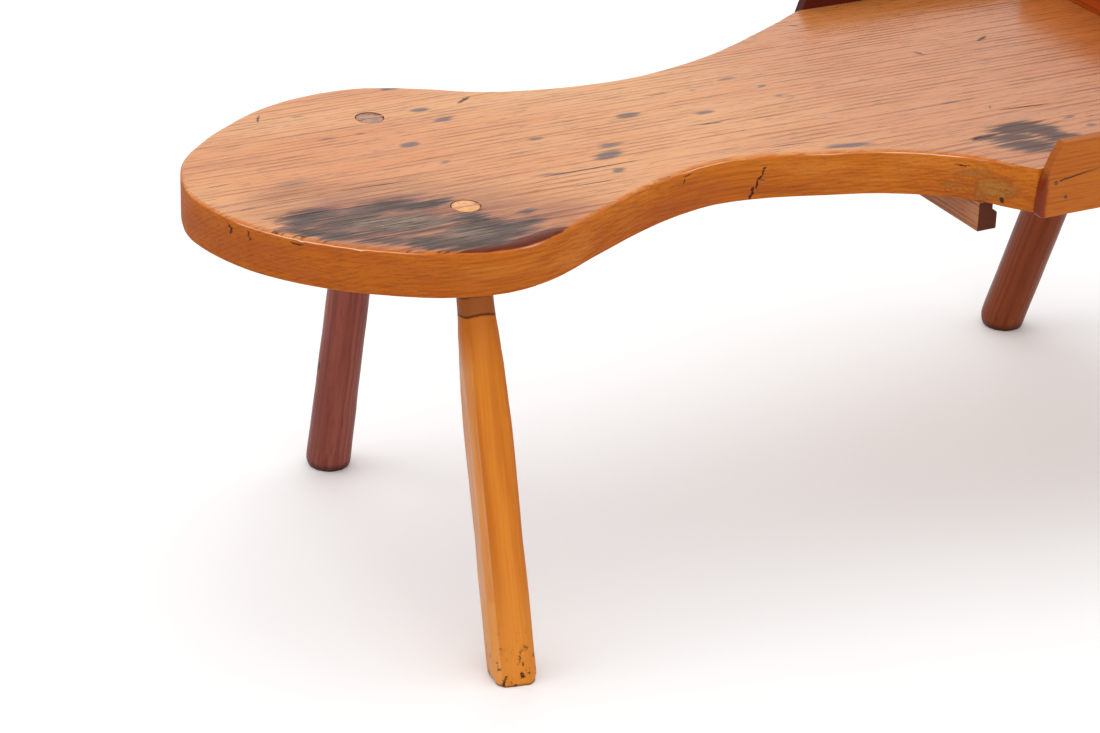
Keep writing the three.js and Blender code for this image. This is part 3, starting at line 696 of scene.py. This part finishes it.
# How far up the foot in radii, share of the width.
square_foot = [(0.0, 0.9), (0.05, 0.955), (0.12, 0.99)]
neck_line = 0.3236
neck_groove = 0.3405
foot_line = 0.072
cut_width = 0.002
neck_blur = 0.0008
neck_painted_shade_reach = 0.055
foot_blur = 0.002
birch_yellow = (0.49, 0.144, 0.007)
birch_pale = (0.57, 0.185, 0.018)
birch_brown = (0.33, 0.1, 0.014)
birch_streak = (0.37, 0.09, 0.004)
birch_fibre = (0.42, 0.115, 0.01)
birch_wear_and_sheen = (0.55, 0.26, 0.105)
birch_painted_shade = (0.4, 0.1, 0.01)
birch_tan = (0.54, 0.235, 0.068)
birch_worn = (0.62, 0.235, 0.038)
birch_speckle = (0.06, 0.016, 0.005)
birch_fleck = (0.26, 0.05, 0.012)
birch_sole = (0.09, 0.04, 0.02)
# Light, dark and the shade across.
birch_end_grain = ((0.8, 0.38, 0.125), (0.62, 0.24, 0.062), (0.66, 0.3, 0.1))
neck_brown = (0.25, 0.068, 0.014)
cut_dark = (0.035, 0.009, 0.003)
tenon_rim = (0.05, 0.02, 0.01)


def lofted(name, stacks, sharpest, fanned=False):
    """A piece of closed stacks of rings: walls from ring to ring, and a flat or a fan over each end."""
    points, faces = [], []
    for stack in stacks:
        size = len(stack[0])
        rings = []
        for ring in stack:
            rings.append(range(len(points), len(points) + size))
            points += ring
        for below, above in zip(rings, rings[1:]):
            faces += wall(below, above)
        for ring in (rings[0], rings[-1]):
            if fanned:
                points.append(sum((points[k] for k in ring), Vector()) / size)
                faces += [(k, ring[(n + 1) % size], len(points) - 1) for n, k in enumerate(ring)]
            else:
                faces.append(ring)
    return shape(name, points, faces, sharpest)


def shaved_reach(angle):
    """How far a shaved face lies from the middle at this angle: a square with its corners taken off."""
    quarter = math.pi / 2
    turned = angle + shaved_turn * math.tau
    from_face = turned - quarter * round(turned / quarter)
    flat = face_share / math.cos(from_face)
    corner = (1 + corner_share) * math.sqrt(0.5) * face_share / math.cos(math.pi / 4 - abs(from_face))
    gap = abs(flat - corner)
    return min(flat, corner) - max(0.0, corner_blend - gap) ** 2 / (4 * corner_blend)


def profile_at(profile, share):
    """The leg's width and flatness at a height, on a curve through its stated rings."""
    for low, high in zip(profile, profile[1:]):
        if share <= high[0]:
            t = (share - low[0]) / (high[0] - low[0])
            t = t * t * (3 - 2 * t)
            return [low[i] + (high[i] - low[i]) * t for i in (1, 2)]


def whittled_leg(leg, kind, profile, radius, toes, lumps, finish, end_grain):
    """A leg in its own frame: foot, shaft and level shoulder, then the tenon through the plank."""
    stand = leg_frame(leg)
    shoulder = plank_low.z - shoulder_gap
    length = shoulder / stand[2][2]

    def ring(run, width, flatness, level=None):
        spots = []
        for angle in around(leg_faces):
            reach = 1 + flatness * (shaved_reach(angle) - 1)
            lump = noise.noise(Vector((*wheel(angle, lump_across), run * lump_along))) * lumps
            x, y = wheel(angle, width * reach + lump)
            spot = own_point(stand, x, y, level or 0.0)
            spots.append(Vector((x, y, max(run, spot.z))) if level is None else spot)
        return spots

    width, flatness = profile_at(profile, 0)
    rings = []
    for rise, reach in toes:
        rings.append(ring(rise * radius, reach * radius * width, flatness, None if rise else 0.0))
    start = toes[-1][0] * radius / length
    for k in range(1, leg_rings):
        share = start + (1 - start) * k / leg_rings
        width, flatness = profile_at(profile, share)
        if share * length < length - neck_reach * radius:
            rings.append(ring(share * length, width * radius, flatness))
    width, flatness = profile_at(profile, 1)
    rings.append(ring(length, width * radius, flatness, shoulder - shoulder_ease))
    rings.append(ring(length, width * radius - shoulder_draw, flatness, shoulder))
    head = plank_high.z - tenon_drop
    for level, reach in (
        (shoulder, tenon_radius), (head - tenon_ease, tenon_radius), (head, tenon_radius - tenon_ease),
    ):
        rings.append([own_point(stand, *wheel(angle, reach), level) for angle in around(leg_faces)])
    piece = lofted(f"{leg}_leg_{kind}", [rings], leg_sharpest, fanned=True)
    for face in piece.data.polygons[-leg_faces:]:
        face.material_index = 1
    piece.matrix_world = stand
    fit(piece, leg + "_leg", "bench", finish)
    piece.data.materials.append(end_grain)


def tenon_finish(name, pale, brown, across):
    """End grain, planed flush with the plank and varnished over."""
    f = Finish(name)
    rings = f.cloud((260, 700, 40))
    slow = f.cloud((90, 90, 30), 2)
    f.colour = f.mix(f.span(rings, 0.38, 0.66), pale, brown)
    f.wash(slow, 0.45, 0.7, 0.5, across)
    rim = f.vector("LENGTH", f.vector("MULTIPLY", f.place, (1, 1, 0)))
    f.tint(f.span(rim, tenon_radius * 0.86, tenon_radius, 0, 0.9), tenon_rim)
    return f.dress(f.span(rings, 0.3, 0.7, 0.34, 0.5), rings, 0.5, 0.15, 0.0002, 0.3)


def soil_sole(f, low, high, share, shade):
    """Grime on the edge that stands on the floor."""
    above = f.split(f.lay("NewGeometry").outputs["Position"])[2]
    f.tint(f.times(f.span(above, low, high, 1, 0), share), shade)


def birch_finish():
    f = Finish("yellow birch")
    wood = grain(f, 2, (0.31, 0.12, 0.4), 0.0034, (0.02, 0.055), 0.012)
    height = f.split(f.place)[2]
    f.colour = f.mix(f.span(wood.slow, 0.35, 0.65), birch_yellow, birch_pale)
    f.wash(wood.streak, 0.42, 0.68, 0.7, birch_streak)
    f.tint(f.times(wood.late, wood.broken, 0.26), birch_brown)
    f.wash(wood.fibre, 0.5, 0.72, 0.4, birch_fibre)

    # The flat that looks to the left, paler partly as rubbed wear and partly as painted sheen, and the darker
    # neck with its two cut lines, under painted shade toward the plank and painted shadow above the upper
    # line.
    side = f.split(f.lay("TexCoord").outputs["Normal"])[0]
    # Painted sheen: the flat that looks to the left is made paler, standing in for the sheen the lamp on that
    # side gives it.
    sheen_facet = f.times(f.span(side, -0.6, -0.8), f.span(height, 0.315, 0.27))
    rubbed = f.span(f.cloud((150, 150, 9), 4, 0.6), 0.34, 0.62, 0.45, 1)
    f.tint(f.times(sheen_facet, f.times(rubbed, 0.62)), birch_wear_and_sheen)
    edge = f.plus(height, f.lift(f.cloud((26, 26, 9)), 0.012, -0.006))
    neck = f.span(edge, neck_line - neck_blur, neck_line + neck_blur)
    line = f.band(edge, neck_line - cut_width, neck_line, neck_line + cut_width)
    # A cut groove with painted shadow: its darkness stays at a share from the groove up to the plank.
    groove_and_shadow = f.band(edge, neck_groove - cut_width, neck_groove, neck_groove + 0.003, 0.6)
    line = f.most(line, f.times(groove_and_shadow, 0.8))
    # Painted shade: the leg darkens upward to the neck line, under the plank.
    f.tint(f.span(height, neck_line - neck_painted_shade_reach, neck_line, 0, 0.5), birch_painted_shade)
    f.tint(f.times(neck, 0.88), neck_brown)
    f.tint(f.times(line, 0.9), cut_dark)

    # The foot: bare below a line on the flat, where its paler colour is also painted sheen as on the flat
    # above, worn, and specked with dirt.
    foot = f.span(edge, foot_line - foot_blur, foot_line + foot_blur, 1, 0)
    # Bare wood and painted sheen: the left-looking flat below the foot line is made paler.
    f.tint(f.times(foot, f.times(sheen_facet, 0.75)), birch_tan)
    f.wash(height, 0.14, 0.02, 0.42, birch_worn)
    speckle = f.span(f.cloud((170, 170, 110), 5, 0.75), 0.565, 0.62)
    speckle = f.times(speckle, f.span(height, 0.005, 0.062, 1, 0))
    f.tint(speckle, birch_speckle)
    flecks = f.span(f.cloud((110, 110, 40), 4, 0.7), 0.655, 0.7)
    f.tint(f.times(flecks, 0.75, f.span(height, 0.06, 0.1), f.span(height, 0.16, 0.12)), birch_fleck)
    soil_sole(f, 0.0006, 0.003, 0.7, birch_sole)

    relief = f.lift(wood.fibre, 0.4, f.times(wood.streak, 0.6))
    relief = f.plus(relief, f.times(f.cloud((30, 30, 240), 2), 0.35))
    relief = f.less(relief, f.times(line, 1.2))
    relief = f.less(relief, f.times(speckle, 0.8))
    gloss = f.span(f.cloud((40, 40, 14)), 0.3, 0.7, 0.34, 0.48)
    coat = f.times(sheen_facet, rubbed, f.span(edge, foot_line - foot_blur, foot_line + foot_blur, 0.12, 0.46))
    return f.dress(gloss, relief, coat, 0.22, 0.0003, 0.08)


whittled_leg("front_left", "shaved", shaved_profile, shaved_radius, square_foot, shaved_lumps,
             birch_finish(), tenon_finish("birch end grain", *birch_end_grain))


# The three round legs.
# Branch-straight hardwood, rounded with a spokeshave, eased at the foot and necked to the tenon. The
# back left one is stained purple-brown and has dents under the plank; the right pair is red-brown.

slim_profile = [
    (0, 1.03, 0), (0.14, 1.0, 0), (0.28, 0.97, 0), (0.45, 0.955, 0), (0.62, 0.94, 0), (0.8, 0.92, 0),
    (0.92, 0.85, 0), (1, 0.76, 0),
]
stout_profile = [
    (0, 1, 0), (0.2, 1, 0), (0.45, 1.01, 0), (0.7, 0.99, 0), (0.84, 0.93, 0), (0.93, 0.82, 0), (1, 0.72, 0),
]
slim_radius = 0.0214
stout_radius = 0.0232
round_lumps = 0.0004
round_foot = [
    (-0.3, 0.42), (-0.27, 0.52), (-0.24, 0.6), (-0.18, 0.7), (-0.12, 0.78), (-0.03, 0.855), (0.06, 0.91),
    (0.16, 0.95), (0.26, 0.98), (0.4, 0.995),
]
# Main, dark and light shade.
purple_stain = ((0.215, 0.05, 0.033), (0.115, 0.022, 0.014), (0.28, 0.085, 0.06))
red_varnish = ((0.19, 0.035, 0.006), (0.095, 0.015, 0.003), (0.25, 0.058, 0.014))
brown_varnish = ((0.205, 0.05, 0.01), (0.1, 0.02, 0.005), (0.26, 0.078, 0.018))
round_end_grain = ((0.4, 0.2, 0.12), (0.25, 0.1, 0.055), (0.19, 0.08, 0.047))
round_knot = (0.02, 0.007, 0.004)
round_sole = (0.018, 0.007, 0.004)
dent_dark = (0.03, 0.012, 0.01)
# Turn, height, half height, half width.
back_left_dents = [(-2.2, 0.372, 0.004, 0.003), (-1.9, 0.36, 0.003, 0.005), (-2.5, 0.355, 0.004, 0.003)]


def round_leg_finish(name, shades, heart, coat, rough, dents=()):
    main, dark, pale = shades
    f = Finish(name)
    wood = grain(f, 2, (0.17 + heart[0], 0.33, heart[1]), 0.0042, heart, 0.007)
    f.colour = f.mix(f.span(wood.slow, 0.35, 0.68), main, f.mix(0.5, main, pale))
    f.wash(wood.streak, 0.46, 0.7, 0.6, dark)
    f.tint(f.times(wood.late, 0.55), dark)
    f.wash(wood.fibre, 0.48, 0.74, 0.5, f.mix(0.4, dark, main))
    f.tint(f.times(wood.pores, 0.35), tuple(value * 0.3 for value in dark))
    f.tint(f.times(f.span(f.cloud((30, 70, 70), 1, 0.3, wood.place), 0.77, 0.81), 0.9), round_knot)
    soil_sole(f, 0.001, 0.01, 0.75, round_sole)
    relief = f.lift(wood.fibre, 0.5, f.times(wood.streak, 0.6))
    relief = f.plus(relief, f.times(f.cloud((26, 26, 12), 2), 1.6))
    for angle, height, length, width in dents:
        away = f.vector("SUBTRACT", f.place, (*wheel(angle, slim_radius), height))
        away = f.vector("LENGTH", f.vector("MULTIPLY", away, (1 / width, 1 / width, 1 / length)))
        dent = f.span(away, 0.3, 1.1, 1, 0)
        f.tint(f.times(dent, 0.75), dent_dark)
        relief = f.less(relief, f.times(dent, 1.4))
    gloss = f.span(f.cloud((40, 40, 14)), 0.3, 0.7, rough - 0.06, rough + 0.08)
    return f.dress(gloss, relief, coat, 0.26, 0.0003, 0.12)


for leg, profile, radius, *finish in (
    ("back_left", slim_profile, slim_radius,
     "purple-brown stain", purple_stain, (0.03, 0.09), 0.05, 0.46, back_left_dents),
    ("back_right", stout_profile, stout_radius, "red-brown varnish", red_varnish, (-0.012, 0.028), 0.11, 0.4),
    ("front_right", stout_profile, stout_radius, "brown varnish", brown_varnish, (0.018, 0.024), 0.11, 0.4),
):
    whittled_leg(leg, "turned", profile, radius, round_foot, round_lumps,
                 round_leg_finish(*finish), tenon_finish(leg + " end grain", *round_end_grain))


# The wedges.
# Thin slips of pale wood driven into a saw kerf across each tenon and planed off with it. Their solids
# have the right shape, so each only gets its finish.

wedge_pale = (0.6, 0.26, 0.1)
wedge_brown = (0.36, 0.13, 0.05)
wedge_line = (0.22, 0.08, 0.03)


def wedge_finish():
    f = Finish("wedge wood")
    wood = grain(f, 2, (0, 0, 0), 0.0016, (0.02, 0.05), 0.003)
    f.colour = f.mix(f.span(wood.streak, 0.4, 0.65), wedge_pale, wedge_brown)
    f.tint(f.times(wood.late, 0.4), wedge_line)
    return f.dress(f.span(wood.fibre, 0.3, 0.7, 0.4, 0.55), wood.fibre, 0.4, 0.2, 0.0002, 0.3)


pale_slip = wedge_finish()
for leg in leg_stands:
    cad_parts[leg + "_wedge"].material_slots[0].material = pale_slip


# The tray's boards.
# Thin sawn boards nailed to the plank's edges: golden at the front and the end, dark red-brown at the
# back, each side board's end cut to a curve. A cross board and two partitions make the bins.

tray_edge = 0.0011
board_wear = 0.45
board_step = 0.008
board_corner = 1.7
board_ring_gap = 0.0045
board_rough = 0.36
board_coat = 0.1
# Light, middle and dark shade.
rail_gold = ((0.43, 0.12, 0.007), (0.36, 0.088, 0.005), (0.18, 0.038, 0.005))
rail_dark = ((0.12, 0.013, 0.003), (0.08, 0.008, 0.002), (0.028, 0.004, 0.001))
cross_orange = ((0.44, 0.07, 0.004), (0.33, 0.042, 0.003), (0.12, 0.018, 0.002))
split_dark = (0.018, 0.006, 0.003)
rail_end_red = (0.145, 0.017, 0.003)
rail_red_reach = 0.13
rail_split_height = 0.3656
rail_split_slope = 0.16
rail_split_wave = 0.004


def sawn_wood(name, axis, shift, shades, end_dark, gap=board_ring_gap, rough=board_rough):
    """The colour of a thin board with its dark ends and rubbed edges, then its gloss and its relief."""
    light, mid, dark = shades
    f = Finish(name)
    wood = grain(f, axis, shift, gap, (0.12, -0.3), 0.007)
    f.colour = f.mix(f.span(wood.slow, 0.34, 0.66), mid, light)
    f.wash(wood.streak, 0.45, 0.7, 0.6, mid)
    lines = f.times(wood.late, wood.broken)
    f.tint(f.times(lines, 0.5), dark)
    f.wash(wood.fibre, 0.5, 0.74, 0.5, f.mix(0.5, mid, dark))
    f.tint(f.times(wood.pores, 0.4), dark)
    f.wash(f.maths("ABSOLUTE", f.facing(axis)), 0.6, 0.9, end_dark, dark)
    rubbed = f.times(f.worn(), f.span(f.cloud((70, 70, 70)), 0.4, 0.6))
    f.tint(f.times(rubbed, 0.6), f.mix(0.35, dark, light))
    relief = f.lift(wood.fibre, 0.45, f.times(wood.streak, 0.5))
    relief = f.less(relief, f.times(lines, 0.5))
    relief = f.plus(relief, f.times(f.cloud((14, 14, 14), 2), 1.8))
    gloss = f.span(f.cloud((24, 24, 24)), 0.3, 0.7, rough - 0.05, rough + 0.1)
    return f, gloss, relief


def board_finish(name, axis, shift, shades, coat=board_coat, end_dark=0.5, **more):
    f, gloss, relief = sawn_wood(name, axis, shift, shades, end_dark, **more)
    return f.dress(gloss, relief, coat, 0.16, 0.0003, 0.1)


def front_rail_finish():
    """The front board, split along from its upper nail, with a reddish end where the varnish lies thick."""
    f, gloss, relief = sawn_wood("golden rail", 0, (0.2, 0.5, 0.1), rail_gold, 0.2)
    along, _, up = f.split(f.place)
    wave = f.cloud((60, 0, 0))
    line = f.lift(along, rail_split_slope, f.lift(wave, rail_split_wave, rail_split_height))
    away = f.maths("ABSOLUTE", f.less(up, line))
    run = f.times(f.span(along, 0.136, 0.14), f.span(along, 0.15, 0.2, 1, 0))
    crack = f.times(f.span(away, 0.0002, 0.0011, 1, 0), run)
    f.tint(f.times(crack, 0.95), split_dark)
    drawn = f.lift(f.cloud((40, 40, 90)), 0.004, along)
    f.tint(f.times(f.span(drawn, rail_red_reach - 0.005, rail_red_reach, 1, 0), 0.92), rail_end_red)
    relief = f.less(relief, f.times(crack, 2))
    return f.dress(gloss, relief, board_coat, 0.16, 0.0003, 0.1)


def planed(node, axis, edge, body, material, corner=None):
    """A board of the bench, cut to its solid's outline and given soft, uneven edges."""
    low, high = (spot[axis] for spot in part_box(node))
    outline = eased_outline(sawn_outline(node, axis, low + edge), board_step, corner or edge * board_corner)
    samples = [(*sample, 1.0) for sample in outline]
    piece = soft_board(node + "_planed", samples, axis, low, high, edge, edge, board_wear)
    fit(piece, node, body, material)


planed("front_rail", 1, tray_edge, "bench", front_rail_finish())
for node, axis, name, along, shift, shades in (
    ("back_rail", 1, "dark rail", 0, (0.6, 0.2, 0.3), rail_dark),
    ("end_rail", 0, "golden end board", 1, (0.1, 0.3, 0.7), rail_gold),
    ("tray_divider", 0, "orange cross board", 1, (0.4, 0.9, 0.2), cross_orange),
    ("bin_partition_1", 1, "orange partition 1", 0, (0.3, 0.1, 0.2), cross_orange),
    ("bin_partition_2", 1, "orange partition 2", 0, (0.6, 0.2, 0.2), cross_orange),
):
    planed(node, axis, tray_edge, "bench", board_finish(name, along, shift, shades))


# The nails.
# Cut iron nails driven flush through the tray's boards, their small heads uneven and rusted. Two hold
# the front rail's end, one over the other, and more follow along the plank's edges and into the ends.

nail_sides = 16
nail_uneven = 0.16
# Radius, and how proud it stands.
board_nail = (0.0019, 0.0004)
# Share of the radius, share of how proud the head stands.
nail_dome = ((1.0, -0.4), (1.0, 0.35), (0.82, 0.8), (0.45, 1.0))
front_nails = [
    (0.1342, 0.3886), (0.1462, 0.373), (0.262, 0.381), (0.352, 0.376), (0.47, 0.381), (0.566, 0.372),
]
back_nails = [(0.162, 0.384), (0.258, 0.375), (0.362, 0.382), (0.472, 0.376), (0.564, 0.383)]
end_nails = [(-0.212, 0.38), (-0.11, 0.376), (0.0, 0.382), (0.096, 0.375), (0.19, 0.381)]
cross_nail_height = 0.412
partition_nail_height = 0.42
iron_grey = (0.115, 0.085, 0.065)
iron_rust = (0.085, 0.032, 0.014)
iron_metallic = 0.4


def iron_finish():
    f = Finish("old iron")
    rust = f.cloud((900, 900, 900), 4, 0.65)
    f.colour = f.mix(f.span(rust, 0.4, 0.62), iron_grey, iron_rust)
    f.shader.inputs["Metallic"].default_value = iron_metallic
    return f.dress(f.span(rust, 0.3, 0.7, 0.4, 0.75), rust, 0, 0.3, 0.0002, 0.3)


old_iron = iron_finish()


def driven(name, stacks, sharpest, stand, body):
    """An iron head made of one or more closed stacks of rings, set in its place on a body."""
    head = lofted(name, stacks, sharpest)
    head.data.materials.append(old_iron)
    head.matrix_world = stand
    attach(head, body)


def domed_head(name, size, stand, body, seed):
    """A small hammered head."""
    radius, proud = size
    rings = []
    for reach, rise in nail_dome:
        ring = []
        for turn in around(nail_sides):
            bump = noise.noise(Vector((math.cos(turn) + seed, math.sin(turn), 0.7 * seed)))
            ring.append(Vector((*wheel(turn, radius * reach * (1 + nail_uneven * bump)), rise * proud)))
        rings.append(ring)
    driven(name, [rings], 180, stand, body)


def nail_row(kind, body, size, axis, side, face, places, seed):
    """Nails in a face that looks along an axis: how far along each is and how high."""
    way = Vector((0, 0, 0))
    way[axis] = side
    turn = Vector((0, 0, 1)).rotation_difference(way).to_matrix().to_4x4()
    for number, (along, up) in enumerate(places):
        spot = Vector((0, 0, up))
        spot[axis], spot[1 - axis] = face, along
        domed_head(f"{kind}_nail_{number}", size, Matrix.Translation(spot) @ turn, body, number + seed)


low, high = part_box("tray_divider")
cross_nail = ((low.x + high.x) / 2, cross_nail_height)
nail_row("front", "bench", board_nail, 1, -1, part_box("front_rail")[0].y, front_nails + [cross_nail], 0)
nail_row("back", "bench", board_nail, 1, 1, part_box("back_rail")[1].y, back_nails + [cross_nail], 7.3)
for number in (1, 2):
    low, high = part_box(f"bin_partition_{number}")
    end_nails.append(((low.y + high.y) / 2, partition_nail_height))
nail_row("end", "bench", board_nail, 0, 1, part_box("end_rail")[1].x, end_nails, 3.1)


# The drawer's runners and stop.
# Two strips of dry walnut, rebated so that the inner edge makes a ledge, and a small block that stops
# the drawer. Each is screwed up into the plank's underside.

runner_edge = 0.0006
stop_edge = 0.0008
walnut = ((0.4, 0.165, 0.08), (0.31, 0.118, 0.055), (0.06, 0.012, 0.004))
walnut_ring_gap = 0.003
screw_radius = 0.0042
screw_sides = 24
screw_half_steps = 12
screw_sunk = 0.0008
screw_floor = 0.0004
screw_proud = 0.0005
screw_taper = 0.93
screw_inset = 0.0078
slot_width = 0.0009


def walnut_finish(name, axis, shift, rough=0.6, end_dark=0.5):
    return board_finish(name, axis, shift, walnut, 0.0, end_dark, gap=walnut_ring_gap, rough=rough)


def slotted_screw(name, spot, turn):
    """A flat screw head seen from below: a thin disc, and on it two halves with the slot between them."""
    reach = math.acos(slot_width / 2 / screw_radius)
    arcs = [(around(screw_sides), 1.0, screw_floor)]
    for middle in (0.0, math.pi):
        turns = [middle - reach + 2 * reach * k / screw_half_steps for k in range(screw_half_steps + 1)]
        arcs.append((turns, screw_taper, -screw_proud))
    stacks = []
    for arc, taper, face in arcs:
        stacks.append([
            [Vector((*wheel(angle, screw_radius * width), level)) for angle in arc]
            for width, level in ((1.0, screw_sunk), (taper, face))
        ])
    driven(name, stacks, 0, Matrix.Translation(spot) @ Matrix.Rotation(turn, 4, "Z"), "bench")


for side, shift, inset in (("left", (0.2, 0.4, 0.3), screw_inset), ("right", (0.7, 0.1, 0.6), -screw_inset)):
    node = side + "_runner"
    planed(node, 1, runner_edge, "bench", walnut_finish(side + " runner walnut", 1, shift, end_dark=0.96))
    low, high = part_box(node)
    along = (low.x if inset > 0 else high.x) + inset
    for number, share in enumerate((0.09, 0.5, 0.91)):
        spot = Vector((along, low.y + (high.y - low.y) * share, low.z))
        slotted_screw(f"{node}_screw_{number}", spot, 0.7 + number * 0.9)
planed("drawer_stop", 1, stop_edge, "bench", walnut_finish("stop walnut", 0, (0.5, 0.2, 0.8)))
low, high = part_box("drawer_stop")
for number, share in enumerate((0.25, 0.75)):
    spot = Vector((low.x + (high.x - low.x) * share, (low.y + high.y) / 2, low.z))
    slotted_screw(f"stop_screw_{number}", spot, 1.9 * number + 0.4)


# The drawer.
# A shallow box of thin bare pine with a varnished front, nailed at its corners. A lip of walnut along
# the top of each side rides on the runner's ledge, and a turned knob pulls it out at the back.

drawer_edge = 0.0008
lip_corner = 0.0007
drawer_brown = ((0.44, 0.16, 0.04), (0.34, 0.11, 0.024), (0.13, 0.035, 0.009))
bare_pine = ((0.52, 0.29, 0.125), (0.42, 0.21, 0.08), (0.22, 0.09, 0.032))
pine_rough = 0.62
drawer_nail = (0.0014, 0.0003)
drawer_nail_inset = 0.005
knob_sides = 48
knob_step = 0.0012
knob_sharpest = 50
# Share of the length, share of the radius.
knob_profile = [
    (0, 0.62), (0.06, 0.64), (0.12, 0.5), (0.28, 0.4), (0.44, 0.48), (0.56, 0.8), (0.68, 0.98), (0.8, 1),
    (0.92, 0.86), (0.98, 0.5), (1, 0),
]
knob_brown = (0.2, 0.06, 0.015)
knob_dark = (0.14, 0.036, 0.009)
knob_line = (0.06, 0.014, 0.004)

varnished_front = board_finish("drawer front", 0, (0.8, 0.3, 0.5), drawer_brown)
planed("drawer_front", 1, drawer_edge, "drawer", varnished_front)
for part, axis, along, shift in (
    ("left side", 0, 1, (0.1, 0.2, 0.3)),
    ("right side", 0, 1, (0.6, 0.5, 0.4)),
    ("back", 1, 0, (0.2, 0.7, 0.9)),
    ("bottom", 1, 0, (0.9, 0.4, 0.1)),
):
    finish = board_finish(f"drawer {part} pine", along, shift, bare_pine, 0.0, 0.4, rough=pine_rough)
    planed("drawer_" + part.replace(" ", "_"), axis, drawer_edge, "drawer", finish)
for side in ("left", "right"):
    finish = walnut_finish(f"drawer {side} lip walnut", 1, (0.3, 0.3, 0.3), 0.55)
    planed(f"drawer_{side}_lip", 1, runner_edge, "drawer", finish, lip_corner)


def turned_knob():
    low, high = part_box("drawer_knob")
    reach, radius = high.y - low.y, (high.x - low.x) / 2
    profile = smooth_run([Vector((out * reach, width * radius)) for out, width in knob_profile], knob_step)
    rings = []
    for out, width in profile[:-1]:
        wheels = [wheel(angle, width) for angle in around(knob_sides)]
        rings.append([Vector((x, out, z)) for x, z in wheels])
    piece = lofted("drawer_knob_turned", [rings], knob_sharpest)
    piece.location = ((low.x + high.x) / 2, low.y, (low.z + high.z) / 2)
    return piece


def knob_finish():
    f = Finish("knob wax")
    wood = grain(f, 1, (0.4, 0.4, 0.4), 0.0022, (0.39, 0.38), 0.004)
    f.colour = f.mix(f.span(wood.slow, 0.35, 0.65), knob_brown, knob_dark)
    f.tint(f.times(wood.late, 0.6), knob_line)
    return f.dress(f.span(wood.fibre, 0.3, 0.7, 0.26, 0.42), wood.fibre, 0.5, 0.15, 0.0002, 0.3)


fit(turned_knob(), "drawer_knob", "drawer", knob_finish())
low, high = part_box("drawer_front")
corners = [
    (along, low.z + (high.z - low.z) * share)
    for along in (low.x + drawer_nail_inset, high.x - drawer_nail_inset)
    for share in (0.2, 0.8)
]
nail_row("drawer", "drawer", drawer_nail, 1, 1, high.y, corners, 11.7)


# The room.
# A pale floor that keeps the bench's soft shadow, a white surround, and large soft lamps above and to
# the left. The camera stands where the photograph was taken from.

floor_reach = 9.0
floor_squares = 12
floor_drop = 0.0002
floor_light = (0.95, 0.95, 0.95)
floor_dim = (0.93, 0.925, 0.925)
surround_level = 0.98
# Where each lamp hangs, what it aims at, its size, its power, and whether gloss shows it.
lamps = {
    "key softbox": ((-1.9, 0.6, 2.3), (0, 0, 0.2), (1.6, 1.6), 11, True),
    "top softbox": ((0.3, 0.2, 2.8), (0.1, 0, 0.2), (2.4, 2.4), 8, True),
    "backdrop glow": ((0.9, 2.7, 1.1), (0.1, 0, 0), (2.8, 1.2), 16, False),
    "front fill": ((-0.9, -3.0, 1.0), (0, 0, 0.2), (2.4, 1.4), 25, True),
}
camera_spot = (-1.648587, -2.546744, 1.56235)
camera_down = 0.444328787
camera_turn = 0.505868571
camera_roll = -0.0342774396
camera_lens = 114.545
camera_sees_to = 60


def pale_floor():
    shaped = bmesh.new()
    bmesh.ops.create_grid(shaped, x_segments=floor_squares, y_segments=floor_squares, size=floor_reach)
    mesh = bpy.data.meshes.new("floor")
    shaped.to_mesh(mesh)
    shaped.free()
    floor = placed("floor", mesh)
    floor.location.z = -floor_drop
    f = Finish("pale paper floor")
    tone = f.cloud((1.3, 1.3, 1.3), 2)
    f.colour = f.mix(f.span(tone, 0.3, 0.7), floor_dim, floor_light)
    floor.data.materials.append(f.dress(f.span(tone, 0.3, 0.7, 0.85, 0.95), tone, 0, 0.3, 0, 0.1))


def white_surround():
    """White, and pure white where the camera or gloss looks straight at it."""
    world = bpy.data.worlds.new("white surround")
    world.use_nodes = True
    tree = world.node_tree
    path = tree.nodes.new("ShaderNodeLightPath")
    seen = tree.nodes.new("ShaderNodeMath")
    seen.operation = "MAXIMUM"
    tree.links.new(path.outputs["Is Camera Ray"], seen.inputs[0])
    tree.links.new(path.outputs["Is Glossy Ray"], seen.inputs[1])
    level = tree.nodes.new("ShaderNodeMapRange")
    level.inputs["To Min"].default_value = surround_level
    tree.links.new(seen.outputs[0], level.inputs["Value"])
    ground = tree.nodes["Background"]
    ground.inputs["Color"].default_value = (1, 1, 1, 1)
    tree.links.new(level.outputs[0], ground.inputs["Strength"])
    bpy.context.scene.world = world


pale_floor()
white_surround()
for name, (spot, aim, size, power, mirrored) in lamps.items():
    lamp = bpy.data.lights.new(name, "AREA")
    lamp.shape = "RECTANGLE"
    lamp.size, lamp.size_y = size
    lamp.energy = power
    holder = placed(name, lamp)
    holder.location = spot
    holder.rotation_euler = (Vector(aim) - Vector(spot)).to_track_quat("-Z", "Y").to_euler()
    holder.visible_glossy = mirrored

camera_data = bpy.data.cameras.new("photo camera")
camera_data.sensor_width = 36
camera_data.lens = camera_lens
camera_data.clip_end = camera_sees_to
camera = placed("photo camera", camera_data)
turned = Matrix.Rotation(-camera_turn, 4, "Z") @ Matrix.Rotation(math.pi / 2 - camera_down, 4, "X")
camera.matrix_world = Matrix.Translation(camera_spot) @ turned @ Matrix.Rotation(-camera_roll, 4, "Z")
bpy.context.scene.camera = camera
bpy.context.scene.view_settings.view_transform = "Standard"
